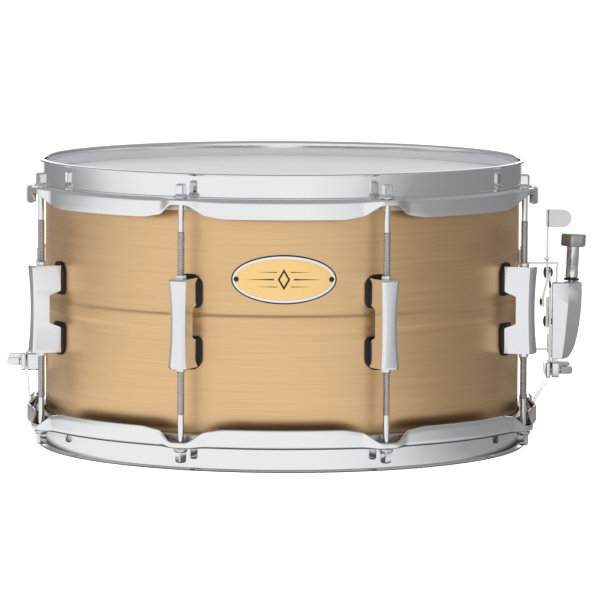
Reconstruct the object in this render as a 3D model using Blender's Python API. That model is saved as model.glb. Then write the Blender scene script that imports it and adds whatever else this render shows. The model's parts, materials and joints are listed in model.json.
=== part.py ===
"""Snare drum with a beaded brass shell, pressed hoops, bridge lugs and a side-throw strainer.

Metres, +Z up. The origin is the centre of the batter head's playing face. The strainer stands
on the +X side, the butt end on the -X side and the badge faces -Y.
"""

from math import cos, pi, radians, sin, tau

import bmesh
import bpy
from mathutils import Matrix, Vector

MM = 0.001
GAP = 0.3 * MM  # between pieces that touch
RUNNING = 0.4 * MM  # between pieces that slide or turn on each other
SEGMENTS = 64

# Shell
SHELL_RADIUS = 175.6 * MM
SHELL_WALL = 1.5 * MM
SHELL_DEPTH = 189.1 * MM
EDGE_LEAN = 2.4 * MM  # how far the bearing edge is drawn in
EDGE_HEIGHT = 9.0 * MM
BEAD_WIDTH = 12.5 * MM
BEAD_PROUD = 1.8 * MM

# Heads
FILM = 0.4 * MM
COLLAR_DEPTH = 13.0 * MM
FLESH_HOOP_WIDTH = 6.8 * MM
FLESH_HOOP_HEIGHT = 7.0 * MM

# Pressed hoops
HOOP_SHEET = 1.8 * MM
HOOP_FREE = 0.4 * MM  # round the head's collar
RIM_RISE = 11.0 * MM  # above the head
RIM_REACH = 3.9 * MM  # of the top flange, out from the wall
WALL_HEIGHT = 17.2 * MM  # rim to ledge
SKIRT_REACH = 13.35 * MM  # outer face, out from the wall
SKIRT_HEIGHT = 13.5 * MM  # below the ledge
HOOP_BEND = 1.3 * MM
SKIRT_BEND = 3.0 * MM
EAR_REACH = 6.1 * MM  # outer edge, out from the rods
EAR_LIP = 3.0 * MM
EAR_HALF = 11.0 * MM
EAR_FOOT = 20.5 * MM
GATE_HALF = 23.0 * MM
GATE_FOOT = 30.0 * MM
GATE_INSET = 3.4 * MM
GATE_RISE = 4.2 * MM
GATE_ROLL = 3.2 * MM
GATE_SLOT = 8.0 * MM
GATE_SLOT_HALF = 17.0 * MM

# Lugs and tension rods
LUG_COUNT = 8
LUG_HEIGHT = 63.6 * MM
LUG_REACH = 8.9 * MM  # front face at its ends, out from the rods
LUG_HOLLOW = 1.5 * MM  # how far the front face curves in
LUG_HALF_FRONT = 6.9 * MM
LUG_HALF_FOOT = 7.6 * MM
LUG_WAIST = 1.5 * MM
LUG_CHAMFER = 1.3 * MM
FOOT_HEIGHT = 18.0 * MM
NOTCH_DEPTH = 10.0 * MM
GASKET = 1.6 * MM
GASKET_MARGIN = 2.6 * MM
GASKET_STRIP = 3.0 * MM
ROD_RADIUS = 2.6 * MM
SHANK_RADIUS = 2.2 * MM
SHANK_LENGTH = 24.0 * MM
ROD_INTO_LUG = 14.0 * MM
ROD_FLANGE = 5.2 * MM
FLANGE_HEIGHT = 1.2 * MM
WASHER_RADIUS = 5.6 * MM
WASHER_HEIGHT = 1.3 * MM
KEY_HALF = 3.0 * MM
KEY_HEIGHT = 8.0 * MM

# Strainer, heights from the bead, the slide's back stands off the shell
SLIDE_STANDOFF = 24.4 * MM
SHEET = 1.6 * MM
BASE_HALF = 18.0 * MM
BASE_ARM_TOP = 28.6 * MM
BASE_ARM_LOW = -34.0 * MM
BASE_FOOT = 11.5 * MM
RAIL_DEEP = 3.0 * MM  # rail, in from the slide's back
RAIL_HALF = 8.0 * MM
HOUSING_THICK = 22.8 * MM
HOUSING_HALF = 13.0 * MM
HOUSING_TOP = 14.5 * MM
HOUSING_LOW = -43.0 * MM
JAW_LOW = -56.0 * MM
JAW_THICK = 5.2 * MM
JAW_HALF = 19.5 * MM
CLAMP_THICK = 3.3 * MM
CLAMP_SCREW_RADIUS = 2.0 * MM
CLAMP_HEAD_HALF = 2.75 * MM
CLAMP_HEAD_LENGTH = 9.5 * MM
LEVER_HALF = 4.5 * MM
LEVER_PIVOT = 20.8 * MM
LEVER_CRANK = 22.0 * MM
LEVER_JOGGLE = 2.8 * MM
TAB_TOP = 68.3 * MM
TAB_HEIGHT = 13.4 * MM
TAB_LENGTH = 18.6 * MM
LINK_LENGTH = 14.5 * MM
LINK_HALF = 3.6 * MM
SLIDE_DROP = 8.0 * MM
PIN_RADIUS = 2.0 * MM
RIVET_RADIUS = 4.3 * MM
RIVET_HEAD = 1.5 * MM
KNOB_DEEP = 15.2 * MM  # from the slide's back to the knob's axis
KNOB_LEAN = radians(2.5)
KNOB_RADIUS = 9.7 * MM
KNOB_HEIGHT = 9.5 * MM
STEM_RADIUS = 4.8 * MM
STEM_LENGTH = 23.5 * MM
SCREW_RADIUS = 2.5 * MM
SCREW_LENGTH = 30.0 * MM
COLLAR_RADIUS = 5.6 * MM
COLLAR_HEIGHT = 1.6 * MM

# Butt end
BUTT_HALF = 19.5 * MM
BUTT_PLATE_TOP = 41.5 * MM
BUTT_LOW = -51.5 * MM
BUTT_BLOCK_TOP = -38.5 * MM
BUTT_STANDOFF = 13.3 * MM
BUTT_CLAMP_THICK = 3.3 * MM

# Snare wires, straps and badge
STRAP_WIDTH = 25.4 * MM
STRAP_THICK = 0.4 * MM
STRAND_COUNT = 20
STRAND_PITCH = 2.1 * MM
STRAND_SIZE = 1.2 * MM
WIRE_SHORT = 9.6 * MM  # wires end this far inside the shell's radius
END_PLATE = 13.0 * MM
BADGE_HALF_WIDTH = 37.6 * MM
BADGE_HALF_HEIGHT = 17.6 * MM
BADGE_THICK = 0.9 * MM
BADGE_UP = 31.4 * MM

# What follows from the sizes above
EDGE_TOP = -(FILM + GAP)
EDGE_LOW = EDGE_TOP - SHELL_DEPTH
BEAD_Z = (EDGE_TOP + EDGE_LOW) / 2
COLLAR_OUT = SHELL_RADIUS + GAP + FILM
LEDGE_MID = WALL_HEIGHT + HOOP_SHEET / 2
LEDGE_UNDER = WALL_HEIGHT + HOOP_SHEET
LEAN_AT_LEDGE = EDGE_LEAN * max(0, 1 - (LEDGE_UNDER - RIM_RISE + EDGE_TOP) / EDGE_HEIGHT)
WALL_MID = COLLAR_OUT - LEAN_AT_LEDGE + HOOP_FREE + HOOP_SHEET / 2
SKIRT_RADIUS = WALL_MID + SKIRT_REACH
SKIRT_MID = SKIRT_RADIUS - HOOP_SHEET / 2
SKIRT_TIP = WALL_HEIGHT + SKIRT_HEIGHT
ROD_CIRCLE = SKIRT_RADIUS
EAR_RADIUS = ROD_CIRCLE + EAR_REACH
LUG_FACE = ROD_CIRCLE + LUG_REACH
HOUSING_BACK = SHELL_RADIUS + SLIDE_STANDOFF
HOUSING_FRONT = HOUSING_BACK + HOUSING_THICK
RAIL_X = HOUSING_BACK + RAIL_DEEP
LEVER_X = HOUSING_BACK - 2 * (GAP + SHEET)
KNOB_X = HOUSING_BACK + KNOB_DEEP
BUTT_BLOCK_X = SHELL_RADIUS + BUTT_STANDOFF
WIRE_HALF_LENGTH = SHELL_RADIUS - WIRE_SHORT
STRAP_X = HOUSING_BACK - GAP - STRAP_THICK / 2
FOOT_BACK = SHELL_RADIUS + GAP + GASKET + GAP
BASE_BACK = SHELL_RADIUS + BEAD_PROUD + GAP


def material(name, colour, roughness, metallic):
    made = bpy.data.materials.new(name)
    made.use_nodes = True
    shader = made.node_tree.nodes["Principled BSDF"]
    shader.inputs["Base Color"].default_value = (*colour, 1.0)
    shader.inputs["Roughness"].default_value = roughness
    shader.inputs["Metallic"].default_value = metallic
    made.diffuse_color = (*colour, 1.0)
    return made


def node(name, mesh, surface, place=None, origin=None, smooth=True):
    """Add the mesh to the scene as a named piece with its own material.

    A mesh made in place can be given an origin, such as a point on its joint's axis.
    """
    if origin is not None:
        place = Matrix.Translation(origin)
        mesh.transform(place.inverted())
    mesh.materials.clear()
    mesh.materials.append(surface)
    if smooth:
        mesh.shade_smooth()
        mesh.set_sharp_from_angle(angle=radians(35))
    made = bpy.data.objects.new(name, mesh)
    bpy.context.scene.collection.objects.link(made)
    if place is not None:
        made.matrix_world = place
    return made


def mesh_from(bm, name):
    bmesh.ops.recalc_face_normals(bm, faces=bm.faces[:])
    mesh = bpy.data.meshes.new(name)
    bm.to_mesh(mesh)
    bm.free()
    return mesh


def loft(name, rings, closed_ends=True, ring_of_rings=False):
    """A mesh through rings with the same number of points, given as lists of vectors."""
    bm = bmesh.new()
    made = [[bm.verts.new(point) for point in ring] for ring in rings]
    pairs = list(zip(made, made[1:]))
    if ring_of_rings:
        pairs.append((made[-1], made[0]))
    for first, second in pairs:
        for k in range(len(first)):
            after = (k + 1) % len(first)
            bm.faces.new((first[k], first[after], second[after], second[k]))
    if closed_ends and not ring_of_rings:
        bm.faces.new(made[0])
        bm.faces.new(made[-1])
    return mesh_from(bm, name)


def turned(name, outline, segments=SEGMENTS):
    """Turn a closed outline of (radius, height) about Z. Points at radius 0 become one point."""
    bm = bmesh.new()
    columns = []
    for radius, height in outline:
        if radius == 0:
            columns.append([bm.verts.new((0, 0, height))] * segments)
            continue
        angles = [tau * k / segments for k in range(segments)]
        columns.append([bm.verts.new((radius * cos(a), radius * sin(a), height)) for a in angles])
    for first, second in zip(columns, columns[1:] + columns[:1]):
        for k in range(segments):
            after = (k + 1) % segments
            corners = (first[k], first[after], second[after], second[k])
            corners = list(dict.fromkeys(corners))
            if len(corners) > 2:
                bm.faces.new(corners)
    return mesh_from(bm, name)


def thicken(line, thickness):
    """The closed outline of a sheet of this thickness whose middle runs along the line."""
    points = [Vector(point) for point in line]
    left, right = [], []
    for k, point in enumerate(points):
        before = (point - points[k - 1]).normalized() if k > 0 else None
        after = (points[k + 1] - point).normalized() if k + 1 < len(points) else None
        before = before or after
        after = after or before
        way = (before + after).normalized()
        side = Vector((-way.y, way.x))
        reach = thickness / 2 / max(0.5, way.dot(after))
        left.append(point + side * reach)
        right.append(point - side * reach)
    return left + right[::-1]


def slab(name, outline, low, high, axis="Y"):
    """Extrude an outline from low to high along an axis. The outline lies in the other two."""
    place = {
        "X": lambda a, b, t: (t, a, b),
        "Y": lambda a, b, t: (a, t, b),
        "Z": lambda a, b, t: (a, b, t),
    }[axis]
    rings = [[Vector(place(a, b, t)) for a, b in outline] for t in (low, high)]
    return loft(name, rings)


def block(name, low, high):
    outline = [(low[0], low[2]), (high[0], low[2]), (high[0], high[2]), (low[0], high[2])]
    return slab(name, outline, low[1], high[1])


def round_bar(name, radius, start, end, segments=16):
    """A cylinder from one point to another."""
    start, end = Vector(start), Vector(end)
    turn = (end - start).to_track_quat("Z", "Y").to_matrix()
    ring = [Vector((radius * cos(tau * k / segments), radius * sin(tau * k / segments), 0))
            for k in range(segments)]
    return loft(name, [[start + turn @ p for p in ring], [end + turn @ p for p in ring]])


def combined(mesh, others, operation):
    """The mesh with others joined to it or cut from it."""
    target = node("work", mesh, bpy.data.materials[0], smooth=False)
    helpers = []
    for other in others:
        helper = node("helper", other, bpy.data.materials[0], smooth=False)
        helper.hide_render = True
        helper.display_type = "WIRE"
        helpers.append(helper)
        change = target.modifiers.new(operation.lower(), "BOOLEAN")
        change.operation = operation
        change.solver = "EXACT"
        change.object = helper
    bpy.context.view_layer.update()
    graph = bpy.context.evaluated_depsgraph_get()
    result = bpy.data.meshes.new_from_object(target.evaluated_get(graph))
    for used in [target, *helpers]:
        bpy.data.objects.remove(used)
    return result


def bevelled(mesh, width, segments=1, angle=radians(30)):
    target = node("work", mesh, bpy.data.materials[0], smooth=False)
    bevel = target.modifiers.new("bevel", "BEVEL")
    bevel.width = width
    bevel.segments = segments
    bevel.limit_method = "ANGLE"
    bevel.angle_limit = angle
    bpy.context.view_layer.update()
    graph = bpy.context.evaluated_depsgraph_get()
    result = bpy.data.meshes.new_from_object(target.evaluated_get(graph))
    bpy.data.objects.remove(target)
    return result


def from_end(outward, end):
    """The height of a point that lies this far outward from the head at one end of the drum."""
    return outward if end > 0 else 2 * BEAD_Z - outward


# ---- shell and heads


def make_shell(surface):
    bead = [(BEAD_WIDTH / 2 * k / 2, BEAD_PROUD * cos(pi / 2 * k / 2)) for k in range(2, -3, -1)]
    outline = [(SHELL_RADIUS - EDGE_LEAN, EDGE_TOP), (SHELL_RADIUS, EDGE_TOP - EDGE_HEIGHT)]
    outline += [(SHELL_RADIUS + out, BEAD_Z + up) for up, out in bead]
    outline += [(SHELL_RADIUS, EDGE_LOW + EDGE_HEIGHT), (SHELL_RADIUS - EDGE_LEAN, EDGE_LOW)]
    inside = [(radius - SHELL_WALL, height) for radius, height in reversed(outline)]
    node("shell", turned("shell", outline + inside), surface)


def make_head(name, end, surface):
    edge = SHELL_RADIUS - EDGE_LEAN
    outside = [(0, 0), (edge + FILM / 2, 0), (edge + GAP + FILM, EDGE_TOP)]
    outside += [(COLLAR_OUT, EDGE_TOP - EDGE_HEIGHT), (COLLAR_OUT, -COLLAR_DEPTH)]
    inside = [(COLLAR_OUT - FILM, -COLLAR_DEPTH), (COLLAR_OUT - FILM, EDGE_TOP - EDGE_HEIGHT)]
    inside += [(edge + GAP, EDGE_TOP), (edge, -FILM), (0, -FILM)]
    outline = [(radius, from_end(up, end)) for radius, up in outside + inside]
    node(name, turned(name, outline), surface)


def make_flesh_hoop(name, end, surface):
    inner = COLLAR_OUT + GAP
    outer = inner + FLESH_HOOP_WIDTH
    top = RIM_RISE - LEDGE_UNDER - GAP
    low = top - FLESH_HOOP_HEIGHT
    outline = [(inner, top), (outer, top), (outer, low), (inner, low)]
    outline = [(radius, from_end(up, end)) for radius, up in outline]
    node(name, turned(name, outline), surface)


# ---- hoops


def hoop_line(along_ear, along_gate):
    """The middle of the hoop's sheet as (radius, distance from the rim).

    along_ear and along_gate are 1 on an ear or a gate and 0 on the plain skirt.
    """
    inset = GATE_INSET * along_gate
    shared = [
        (WALL_MID + RIM_REACH, HOOP_SHEET / 2),
        (WALL_MID, HOOP_SHEET / 2),
        (WALL_MID, LEDGE_MID - HOOP_BEND),
        (WALL_MID + HOOP_BEND, LEDGE_MID),
    ]
    skirt = SKIRT_MID - inset
    tip = SKIRT_TIP + GATE_RISE * along_gate
    roll = GATE_ROLL * along_gate
    plain = [
        (skirt - SKIRT_BEND, LEDGE_MID),
        (skirt - 0.3 * SKIRT_BEND, LEDGE_MID + 0.3 * SKIRT_BEND),
        (skirt, LEDGE_MID + SKIRT_BEND),
        (skirt, tip - 0.45 * SKIRT_HEIGHT),
        (skirt - roll, tip),
    ]
    ear_mid = EAR_RADIUS - HOOP_SHEET / 2
    ear = [
        (ear_mid - 3.0 * EAR_LIP, LEDGE_MID),
        (ear_mid - EAR_LIP, LEDGE_MID),
        (ear_mid - 0.3 * EAR_LIP, LEDGE_MID + 0.2 * EAR_LIP),
        (ear_mid, LEDGE_MID + 0.6 * EAR_LIP),
        (ear_mid, LEDGE_MID + EAR_LIP),
    ]
    formed = [Vector(a).lerp(Vector(b), along_ear) for a, b in zip(plain, ear)]
    return [Vector(point) for point in shared] + formed


def rod_angle(index):
    return tau * (index + 0.5) / LUG_COUNT


def hoop_stations(with_gates):
    """Angles round the hoop, each with how far it is along an ear and along a gate."""
    stations = []
    sector = tau / LUG_COUNT
    for index in range(LUG_COUNT):
        centre = rod_angle(index)
        for reach in (-EAR_FOOT, -EAR_HALF, 0, EAR_HALF, EAR_FOOT):
            on_ear = 1.0 if abs(reach) < EAR_FOOT else 0.0
            stations.append((centre + reach / SKIRT_RADIUS, on_ear, 0.0))
        middle = centre + sector / 2
        is_gate = with_gates and (index + 1) % (LUG_COUNT // 2) == 0
        for reach in (-GATE_FOOT, -GATE_HALF, 0, GATE_HALF, GATE_FOOT):
            gate = 1.0 if is_gate and abs(reach) < GATE_FOOT else 0.0
            stations.append((middle + reach / SKIRT_RADIUS, 0.0, gate))
    return sorted(stations)


def make_hoop(name, end, with_gates, surface):
    rings = []
    for angle, along_ear, along_gate in hoop_stations(with_gates):
        outline = thicken(hoop_line(along_ear, along_gate), HOOP_SHEET)
        rings.append([Vector((radius * cos(angle), radius * sin(angle),
                              from_end(RIM_RISE - down, end))) for radius, down in outline])
    mesh = loft(name, rings, ring_of_rings=True)
    cutters = []
    for index in range(LUG_COUNT):
        angle = rod_angle(index)
        x, y = ROD_CIRCLE * cos(angle), ROD_CIRCLE * sin(angle)
        ends = [from_end(RIM_RISE - WALL_HEIGHT + way * 2 * HOOP_SHEET, end) for way in (-1, 1)]
        cutters.append(round_bar("hole", ROD_RADIUS + RUNNING, (x, y, min(ends)),
                                 (x, y, max(ends)), 12))
    if with_gates:
        middle = from_end(0, end)
        for side in (-1, 1):
            near, far = side * (WALL_MID - 2 * HOOP_SHEET), side * (WALL_MID + 2 * HOOP_SHEET)
            cutters.append(block("slot", (min(near, far), -GATE_SLOT_HALF, middle - 0.65 * GATE_SLOT),
                                 (max(near, far), GATE_SLOT_HALF, middle + 0.35 * GATE_SLOT)))
    node(name, combined(mesh, cutters, "DIFFERENCE"), surface)


# ---- lugs, gaskets and tension rods


def place_at(angle):
    """Local X points outward at this angle round the drum, and local Z is up from the bead."""
    return Matrix.Rotation(angle, 4, "Z") @ Matrix.Translation((0, 0, BEAD_Z))


def lug_mesh():
    """One lug in local axes: X out from the drum's axis, Y across, Z along."""
    half = LUG_HEIGHT / 2
    foot_low = half - FOOT_HEIGHT
    ceiling = FOOT_BACK + NOTCH_DEPTH
    steps = [k / 4 for k in range(-4, 5)]
    front = [(LUG_FACE - LUG_HOLLOW * (1 - share * share), half * share) for share in steps]
    back = [(FOOT_BACK, half - 1.5 * MM), (FOOT_BACK, foot_low)]
    back += [(FOOT_BACK + 0.6 * NOTCH_DEPTH, 0.72 * foot_low), (ceiling, 0.4 * foot_low)]
    back += [(x, -z) for x, z in reversed(back)]
    outline = front + back
    rings = []
    for side in (-1, 1):
        ring = []
        for x, z in outline:
            out = (x - FOOT_BACK) / (LUG_FACE - FOOT_BACK)
            half_width = LUG_HALF_FOOT + (LUG_HALF_FRONT - LUG_HALF_FOOT) * out
            half_width -= LUG_WAIST * out * (1 - (z / half) ** 2)
            ring.append(Vector((x, side * half_width, z)))
        rings.append(ring)
    body = loft("lug", rings)
    bores = []
    for side in (-1, 1):
        ends = [side * (half + 2 * MM), side * (half - ROD_INTO_LUG - 3 * MM)]
        bores.append(round_bar("bore", ROD_RADIUS + RUNNING, (ROD_CIRCLE, 0, min(ends)),
                               (ROD_CIRCLE, 0, max(ends)), 12))
    return combined(bevel_front(body), bores, "DIFFERENCE")


def bevel_front(mesh):
    """Chamfer the two long edges of the lug's front face."""
    bm = bmesh.new()
    bm.from_mesh(mesh)
    chosen = []
    for edge in bm.edges:
        ends = [v.co for v in edge.verts]
        long_way = abs(ends[0].z - ends[1].z) > 1 * MM and abs(ends[0].y - ends[1].y) < 1 * MM
        if long_way and min(p.x for p in ends) > LUG_FACE - LUG_HOLLOW - 0.5 * MM:
            chosen.append(edge)
    bmesh.ops.bevel(bm, geom=chosen, offset=LUG_CHAMFER, segments=1, affect="EDGES")
    return mesh_from(bm, "lug")


def gasket_mesh():
    """Two foot pads in one piece with a thin strip that passes over the bead."""
    half = LUG_HEIGHT / 2
    back = SHELL_RADIUS + GAP
    wide = LUG_HALF_FOOT + GASKET_MARGIN
    over_bead = SHELL_RADIUS + BEAD_PROUD + GAP
    pad_low = half - FOOT_HEIGHT - GASKET_MARGIN
    rise = pad_low - 3 * MM
    pads = []
    for side in (-1, 1):
        ends = [side * (half + 0.7 * GASKET_MARGIN), side * pad_low]
        pads.append(block("pad", (back, -wide, min(ends)), (back + GASKET, wide, max(ends))))
    top = over_bead + 1 * MM
    profile = [(back, pad_low + 1 * MM), (back + GASKET, pad_low + 1 * MM)]
    profile += [(back + GASKET, pad_low - 0.5 * MM), (top, rise)]
    profile += [(x, -z) for x, z in reversed(profile[2:])]
    profile += [(back + GASKET, -pad_low - 1 * MM), (back, -pad_low - 1 * MM)]
    profile += [(back, -pad_low + 0.5 * MM), (over_bead, -rise + 1 * MM)]
    profile += [(over_bead, rise - 1 * MM), (back, pad_low - 0.5 * MM)]
    strip = slab("strip", profile, -GASKET_STRIP / 2, GASKET_STRIP / 2)
    return combined(pads[0], [strip, pads[1]], "UNION")


def rod_mesh():
    """One tension rod pointing down from its seat at z = 0, with flange, washer and square key."""
    seat = from_end(RIM_RISE - WALL_HEIGHT, 1) + GAP
    tip = BEAD_Z + LUG_HEIGHT / 2 - ROD_INTO_LUG - seat
    flange = WASHER_HEIGHT + FLANGE_HEIGHT
    stations = [
        (tip, ROD_RADIUS, False),
        (-SHANK_LENGTH - 0.6 * MM, ROD_RADIUS, False),
        (-SHANK_LENGTH, SHANK_RADIUS, False),
        (0, SHANK_RADIUS, False),
        (0, WASHER_RADIUS, False),
        (WASHER_HEIGHT, WASHER_RADIUS, False),
        (WASHER_HEIGHT, ROD_FLANGE, False),
        (flange, ROD_FLANGE - 0.6 * MM, False),
        (flange + 0.8 * MM, KEY_HALF, True),
        (flange + KEY_HEIGHT - 0.8 * MM, KEY_HALF, True),
        (flange + KEY_HEIGHT, KEY_HALF - 0.8 * MM, True),
    ]
    sides = 8
    rings = []
    for height, radius, square in stations:
        ring = []
        for k in range(sides):
            angle = tau * k / sides
            reach = radius
            if square:
                reach = radius / max(abs(cos(angle)), abs(sin(angle)))
            ring.append(Vector((reach * cos(angle), reach * sin(angle), height)))
        rings.append(ring)
    return loft("rod", rings)


def make_lugs(chrome, rubber):
    lug, gasket, rod = lug_mesh(), gasket_mesh(), rod_mesh()
    seat = RIM_RISE - WALL_HEIGHT + GAP
    for index in range(LUG_COUNT):
        angle = rod_angle(index)
        number = index + 1
        node(f"lug_{number}", lug, chrome, place_at(angle))
        node(f"lug_gasket_{number}", gasket, rubber, place_at(angle), smooth=False)
        turn = Matrix.Rotation(angle, 4, "Z") @ Matrix.Translation((ROD_CIRCLE, 0, 0))
        node(f"batter_rod_{number}", rod, chrome, turn @ Matrix.Translation((0, 0, seat)))
        low = turn @ Matrix.Translation((0, 0, 2 * BEAD_Z - seat)) @ Matrix.Rotation(pi, 4, "X")
        node(f"snare_rod_{number}", rod, chrome, low)


# ---- strainer


def at_bead(x, up):
    return (x, BEAD_Z + up)


def make_base(surface):
    """The bracket that is screwed to the shell: feet, arms and the rail that the slide runs on."""
    half = SHEET / 2
    foot = BASE_BACK + half
    line = [
        at_bead(foot, BASE_ARM_TOP + BASE_FOOT),
        at_bead(foot, BASE_ARM_TOP + half),
        at_bead(RAIL_X + half, BASE_ARM_TOP + half),
        at_bead(RAIL_X + half, BASE_ARM_LOW - half),
        at_bead(foot, BASE_ARM_LOW - half),
        at_bead(foot, BASE_ARM_LOW - BASE_FOOT),
    ]
    body = slab("base", square_sheet(line, SHEET), -BASE_HALF, BASE_HALF)
    top = BEAD_Z + BASE_ARM_TOP
    low = BEAD_Z + BASE_ARM_LOW
    cuts = []
    for side in (-1, 1):
        near, far = side * RAIL_HALF, side * (BASE_HALF + 1 * MM)
        cuts.append(block("relief", (RAIL_X - 1 * MM, min(near, far), low - 1 * MM),
                          (RAIL_X + 4 * SHEET, max(near, far), top - SHEET)))
        near = side * RAIL_HALF
        cuts.append(block("relief", (HOUSING_BACK - 3.5 * MM, min(near, far), low - 2 * SHEET),
                          (RAIL_X + 4 * SHEET, max(near, far), low + 2 * SHEET)))
    swing = BASE_HALF - 2.2 * MM
    cuts.append(block("lever_slot", (LEVER_X - 0.8 * MM, -LEVER_HALF - 1.2 * MM, top - 2 * SHEET),
                      (LEVER_X + SHEET + 0.8 * MM, swing, top + 2 * SHEET)))
    node("strainer_base", combined(body, cuts, "DIFFERENCE"), surface, smooth=False)


def square_sheet(line, thickness):
    """A sheet's outline with sharp outer corners, for a line whose bends are right angles."""
    points = [Vector(point) for point in line]
    left, right = [], []
    for k, point in enumerate(points):
        before = (point - points[max(k - 1, 0)]).normalized()
        after = (points[min(k + 1, len(points) - 1)] - point).normalized()
        if k == 0:
            before = after
        if k == len(points) - 1:
            after = before
        offset = Vector((-before.y, before.x)) * thickness / 2
        if before.dot(after) < 0.9:
            offset += Vector((-after.y, after.x)) * thickness / 2
        left.append(point + offset)
        right.append(point - offset)
    return left + right[::-1]


def make_housing(surface):
    """The cast slide with its rail pocket, screw bore and outer clamp jaw."""
    top, low = BEAD_Z + HOUSING_TOP, BEAD_Z + HOUSING_LOW
    back, front = HOUSING_BACK, HOUSING_FRONT
    steps = 6
    outline = [(back, top), (front - 1.5 * MM, top), (front, top - 1.5 * MM)]
    curve_top = top - 0.38 * (top - low)
    for k in range(1, steps + 1):
        share = k / steps
        outline.append((front - 10.5 * MM * share ** 2.6, curve_top + (low - curve_top) * share))
    outline.append((back, low))
    body = slab("housing", outline, -HOUSING_HALF, HOUSING_HALF)
    corner = []
    for side in (-1, 1):
        wedge = [(front + 1 * MM, side * (HOUSING_HALF + 1 * MM)),
                 (front + 1 * MM, side * 0.42 * HOUSING_HALF),
                 (back + 0.5 * (front - back), side * (HOUSING_HALF + 1 * MM))]
        corner.append(slab("wedge", wedge, low - 1 * MM, top + 1 * MM, axis="Z"))
    body = combined(body, corner, "DIFFERENCE")
    jaw = block("jaw", (back, -JAW_HALF, BEAD_Z + JAW_LOW), (back + JAW_THICK, JAW_HALF, low - 1 * MM))
    neck = block("neck", (back, -HOUSING_HALF + 1 * MM, low - 2 * MM),
                 (back + JAW_THICK, HOUSING_HALF - 1 * MM, low + 3 * MM))
    body = combined(body, [neck, jaw], "UNION")
    cuts = [block("rail_pocket", (RAIL_X - RUNNING, -RAIL_HALF - RUNNING, low + 4 * MM),
                  (RAIL_X + SHEET + RUNNING, RAIL_HALF + RUNNING, top + 1 * MM)),
            block("arm_window", (back - 1 * MM, -RAIL_HALF - RUNNING, low + 4 * MM),
                  (RAIL_X, RAIL_HALF + RUNNING, BEAD_Z + BASE_ARM_LOW + SLIDE_DROP + 1 * MM)),
            block("pin_window", (back - 1 * MM, -PIN_RADIUS - 1 * MM, link_pivot() - 3 * MM),
                  (RAIL_X, PIN_RADIUS + 1 * MM, link_pivot() + SLIDE_DROP + 3 * MM))]
    foot = knob_foot()
    way = knob_way()
    cuts.append(round_bar("screw_bore", SCREW_RADIUS + RUNNING, foot + way * 5 * MM,
                          foot - way * (SCREW_LENGTH + 3 * MM)))
    for side in (-1, 1):
        cuts.append(clamp_hole(side, back - 1 * MM, back + JAW_THICK + 1 * MM))
    node("strainer_housing", combined(body, cuts, "DIFFERENCE"), surface, smooth=False)


def clamp_z():
    return BEAD_Z + (JAW_LOW + HOUSING_LOW - 1.5 * MM) / 2


def clamp_hole(side, start, end):
    y = side * screw_y()
    radius = CLAMP_SCREW_RADIUS + RUNNING / 2
    return round_bar("hole", radius, (start, y, clamp_z()), (end, y, clamp_z()), 12)


def screw_y():
    """How far a clamp screw stands from the middle, just clear of the strap."""
    return STRAP_WIDTH / 2 + CLAMP_SCREW_RADIUS + GAP


def lever_origin():
    """A point on the lever's pivot axis."""
    return Vector((LEVER_X + SHEET / 2, 0, BEAD_Z + LEVER_PIVOT))


def link_pivot():
    return BEAD_Z + LEVER_PIVOT - LEVER_CRANK - LINK_LENGTH


def knob_foot():
    """Where the knob's stem stands on the top of the housing."""
    return Vector((KNOB_X, 0, BEAD_Z + HOUSING_TOP))


def knob_way():
    return Vector((sin(KNOB_LEAN), 0, cos(KNOB_LEAN)))


def make_slide_plate(surface):
    """The plate on the back of the slide. Its ear carries the lever's pivot."""
    low, top = BEAD_Z + HOUSING_LOW, BEAD_Z + LEVER_PIVOT
    ear = RIVET_RADIUS
    outline = [(-HOUSING_HALF + 2 * MM, low), (HOUSING_HALF - 2 * MM, low)]
    outline += [(HOUSING_HALF - 2 * MM, BEAD_Z + HOUSING_TOP - 4 * MM), (ear, BEAD_Z + HOUSING_TOP)]
    outline += [(ear * cos(a), top + ear * sin(a)) for a in (0, pi / 4, pi / 2, 3 * pi / 4, pi)]
    outline += [(-ear, BEAD_Z + HOUSING_TOP)]
    outline += [(-HOUSING_HALF + 2 * MM, BEAD_Z + HOUSING_TOP - 4 * MM)]
    back = HOUSING_BACK - GAP - SHEET
    body = slab("plate", outline, back, back + SHEET, axis="X")
    cuts = [block("arm_window", (back - 1 * MM, -RAIL_HALF - RUNNING, low + 4 * MM),
                  (back + 2 * SHEET, RAIL_HALF + RUNNING, BEAD_Z + BASE_ARM_LOW + SLIDE_DROP + 1 * MM)),
            block("pin_window", (back - 1 * MM, -PIN_RADIUS - 1 * MM, link_pivot() - 3 * MM),
                  (back + 2 * SHEET, PIN_RADIUS + 1 * MM, link_pivot() + SLIDE_DROP + 3 * MM)),
            round_bar("pin_hole", PIN_RADIUS + GAP, (back - 1 * MM, 0, top),
                      (back + 2 * SHEET, 0, top), 12)]
    node("strainer_slide_plate", combined(body, cuts, "DIFFERENCE"), surface, smooth=False)


def strap_of_metal(name, x, low, high, half, joggle=0.0, joggle_from=0.0):
    """A flat strip with round ends that stands along Z, stepped inward below joggle_from."""
    middle = x + SHEET / 2
    if joggle:
        step = (low + joggle_from) / 2 - half / 2
        line = [(middle, high), (middle, joggle_from), (middle - joggle, step), (middle - joggle, low)]
    else:
        line = [(middle, high), (middle, low)]
    return slab(name, thicken(line, SHEET), -half, half)


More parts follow.
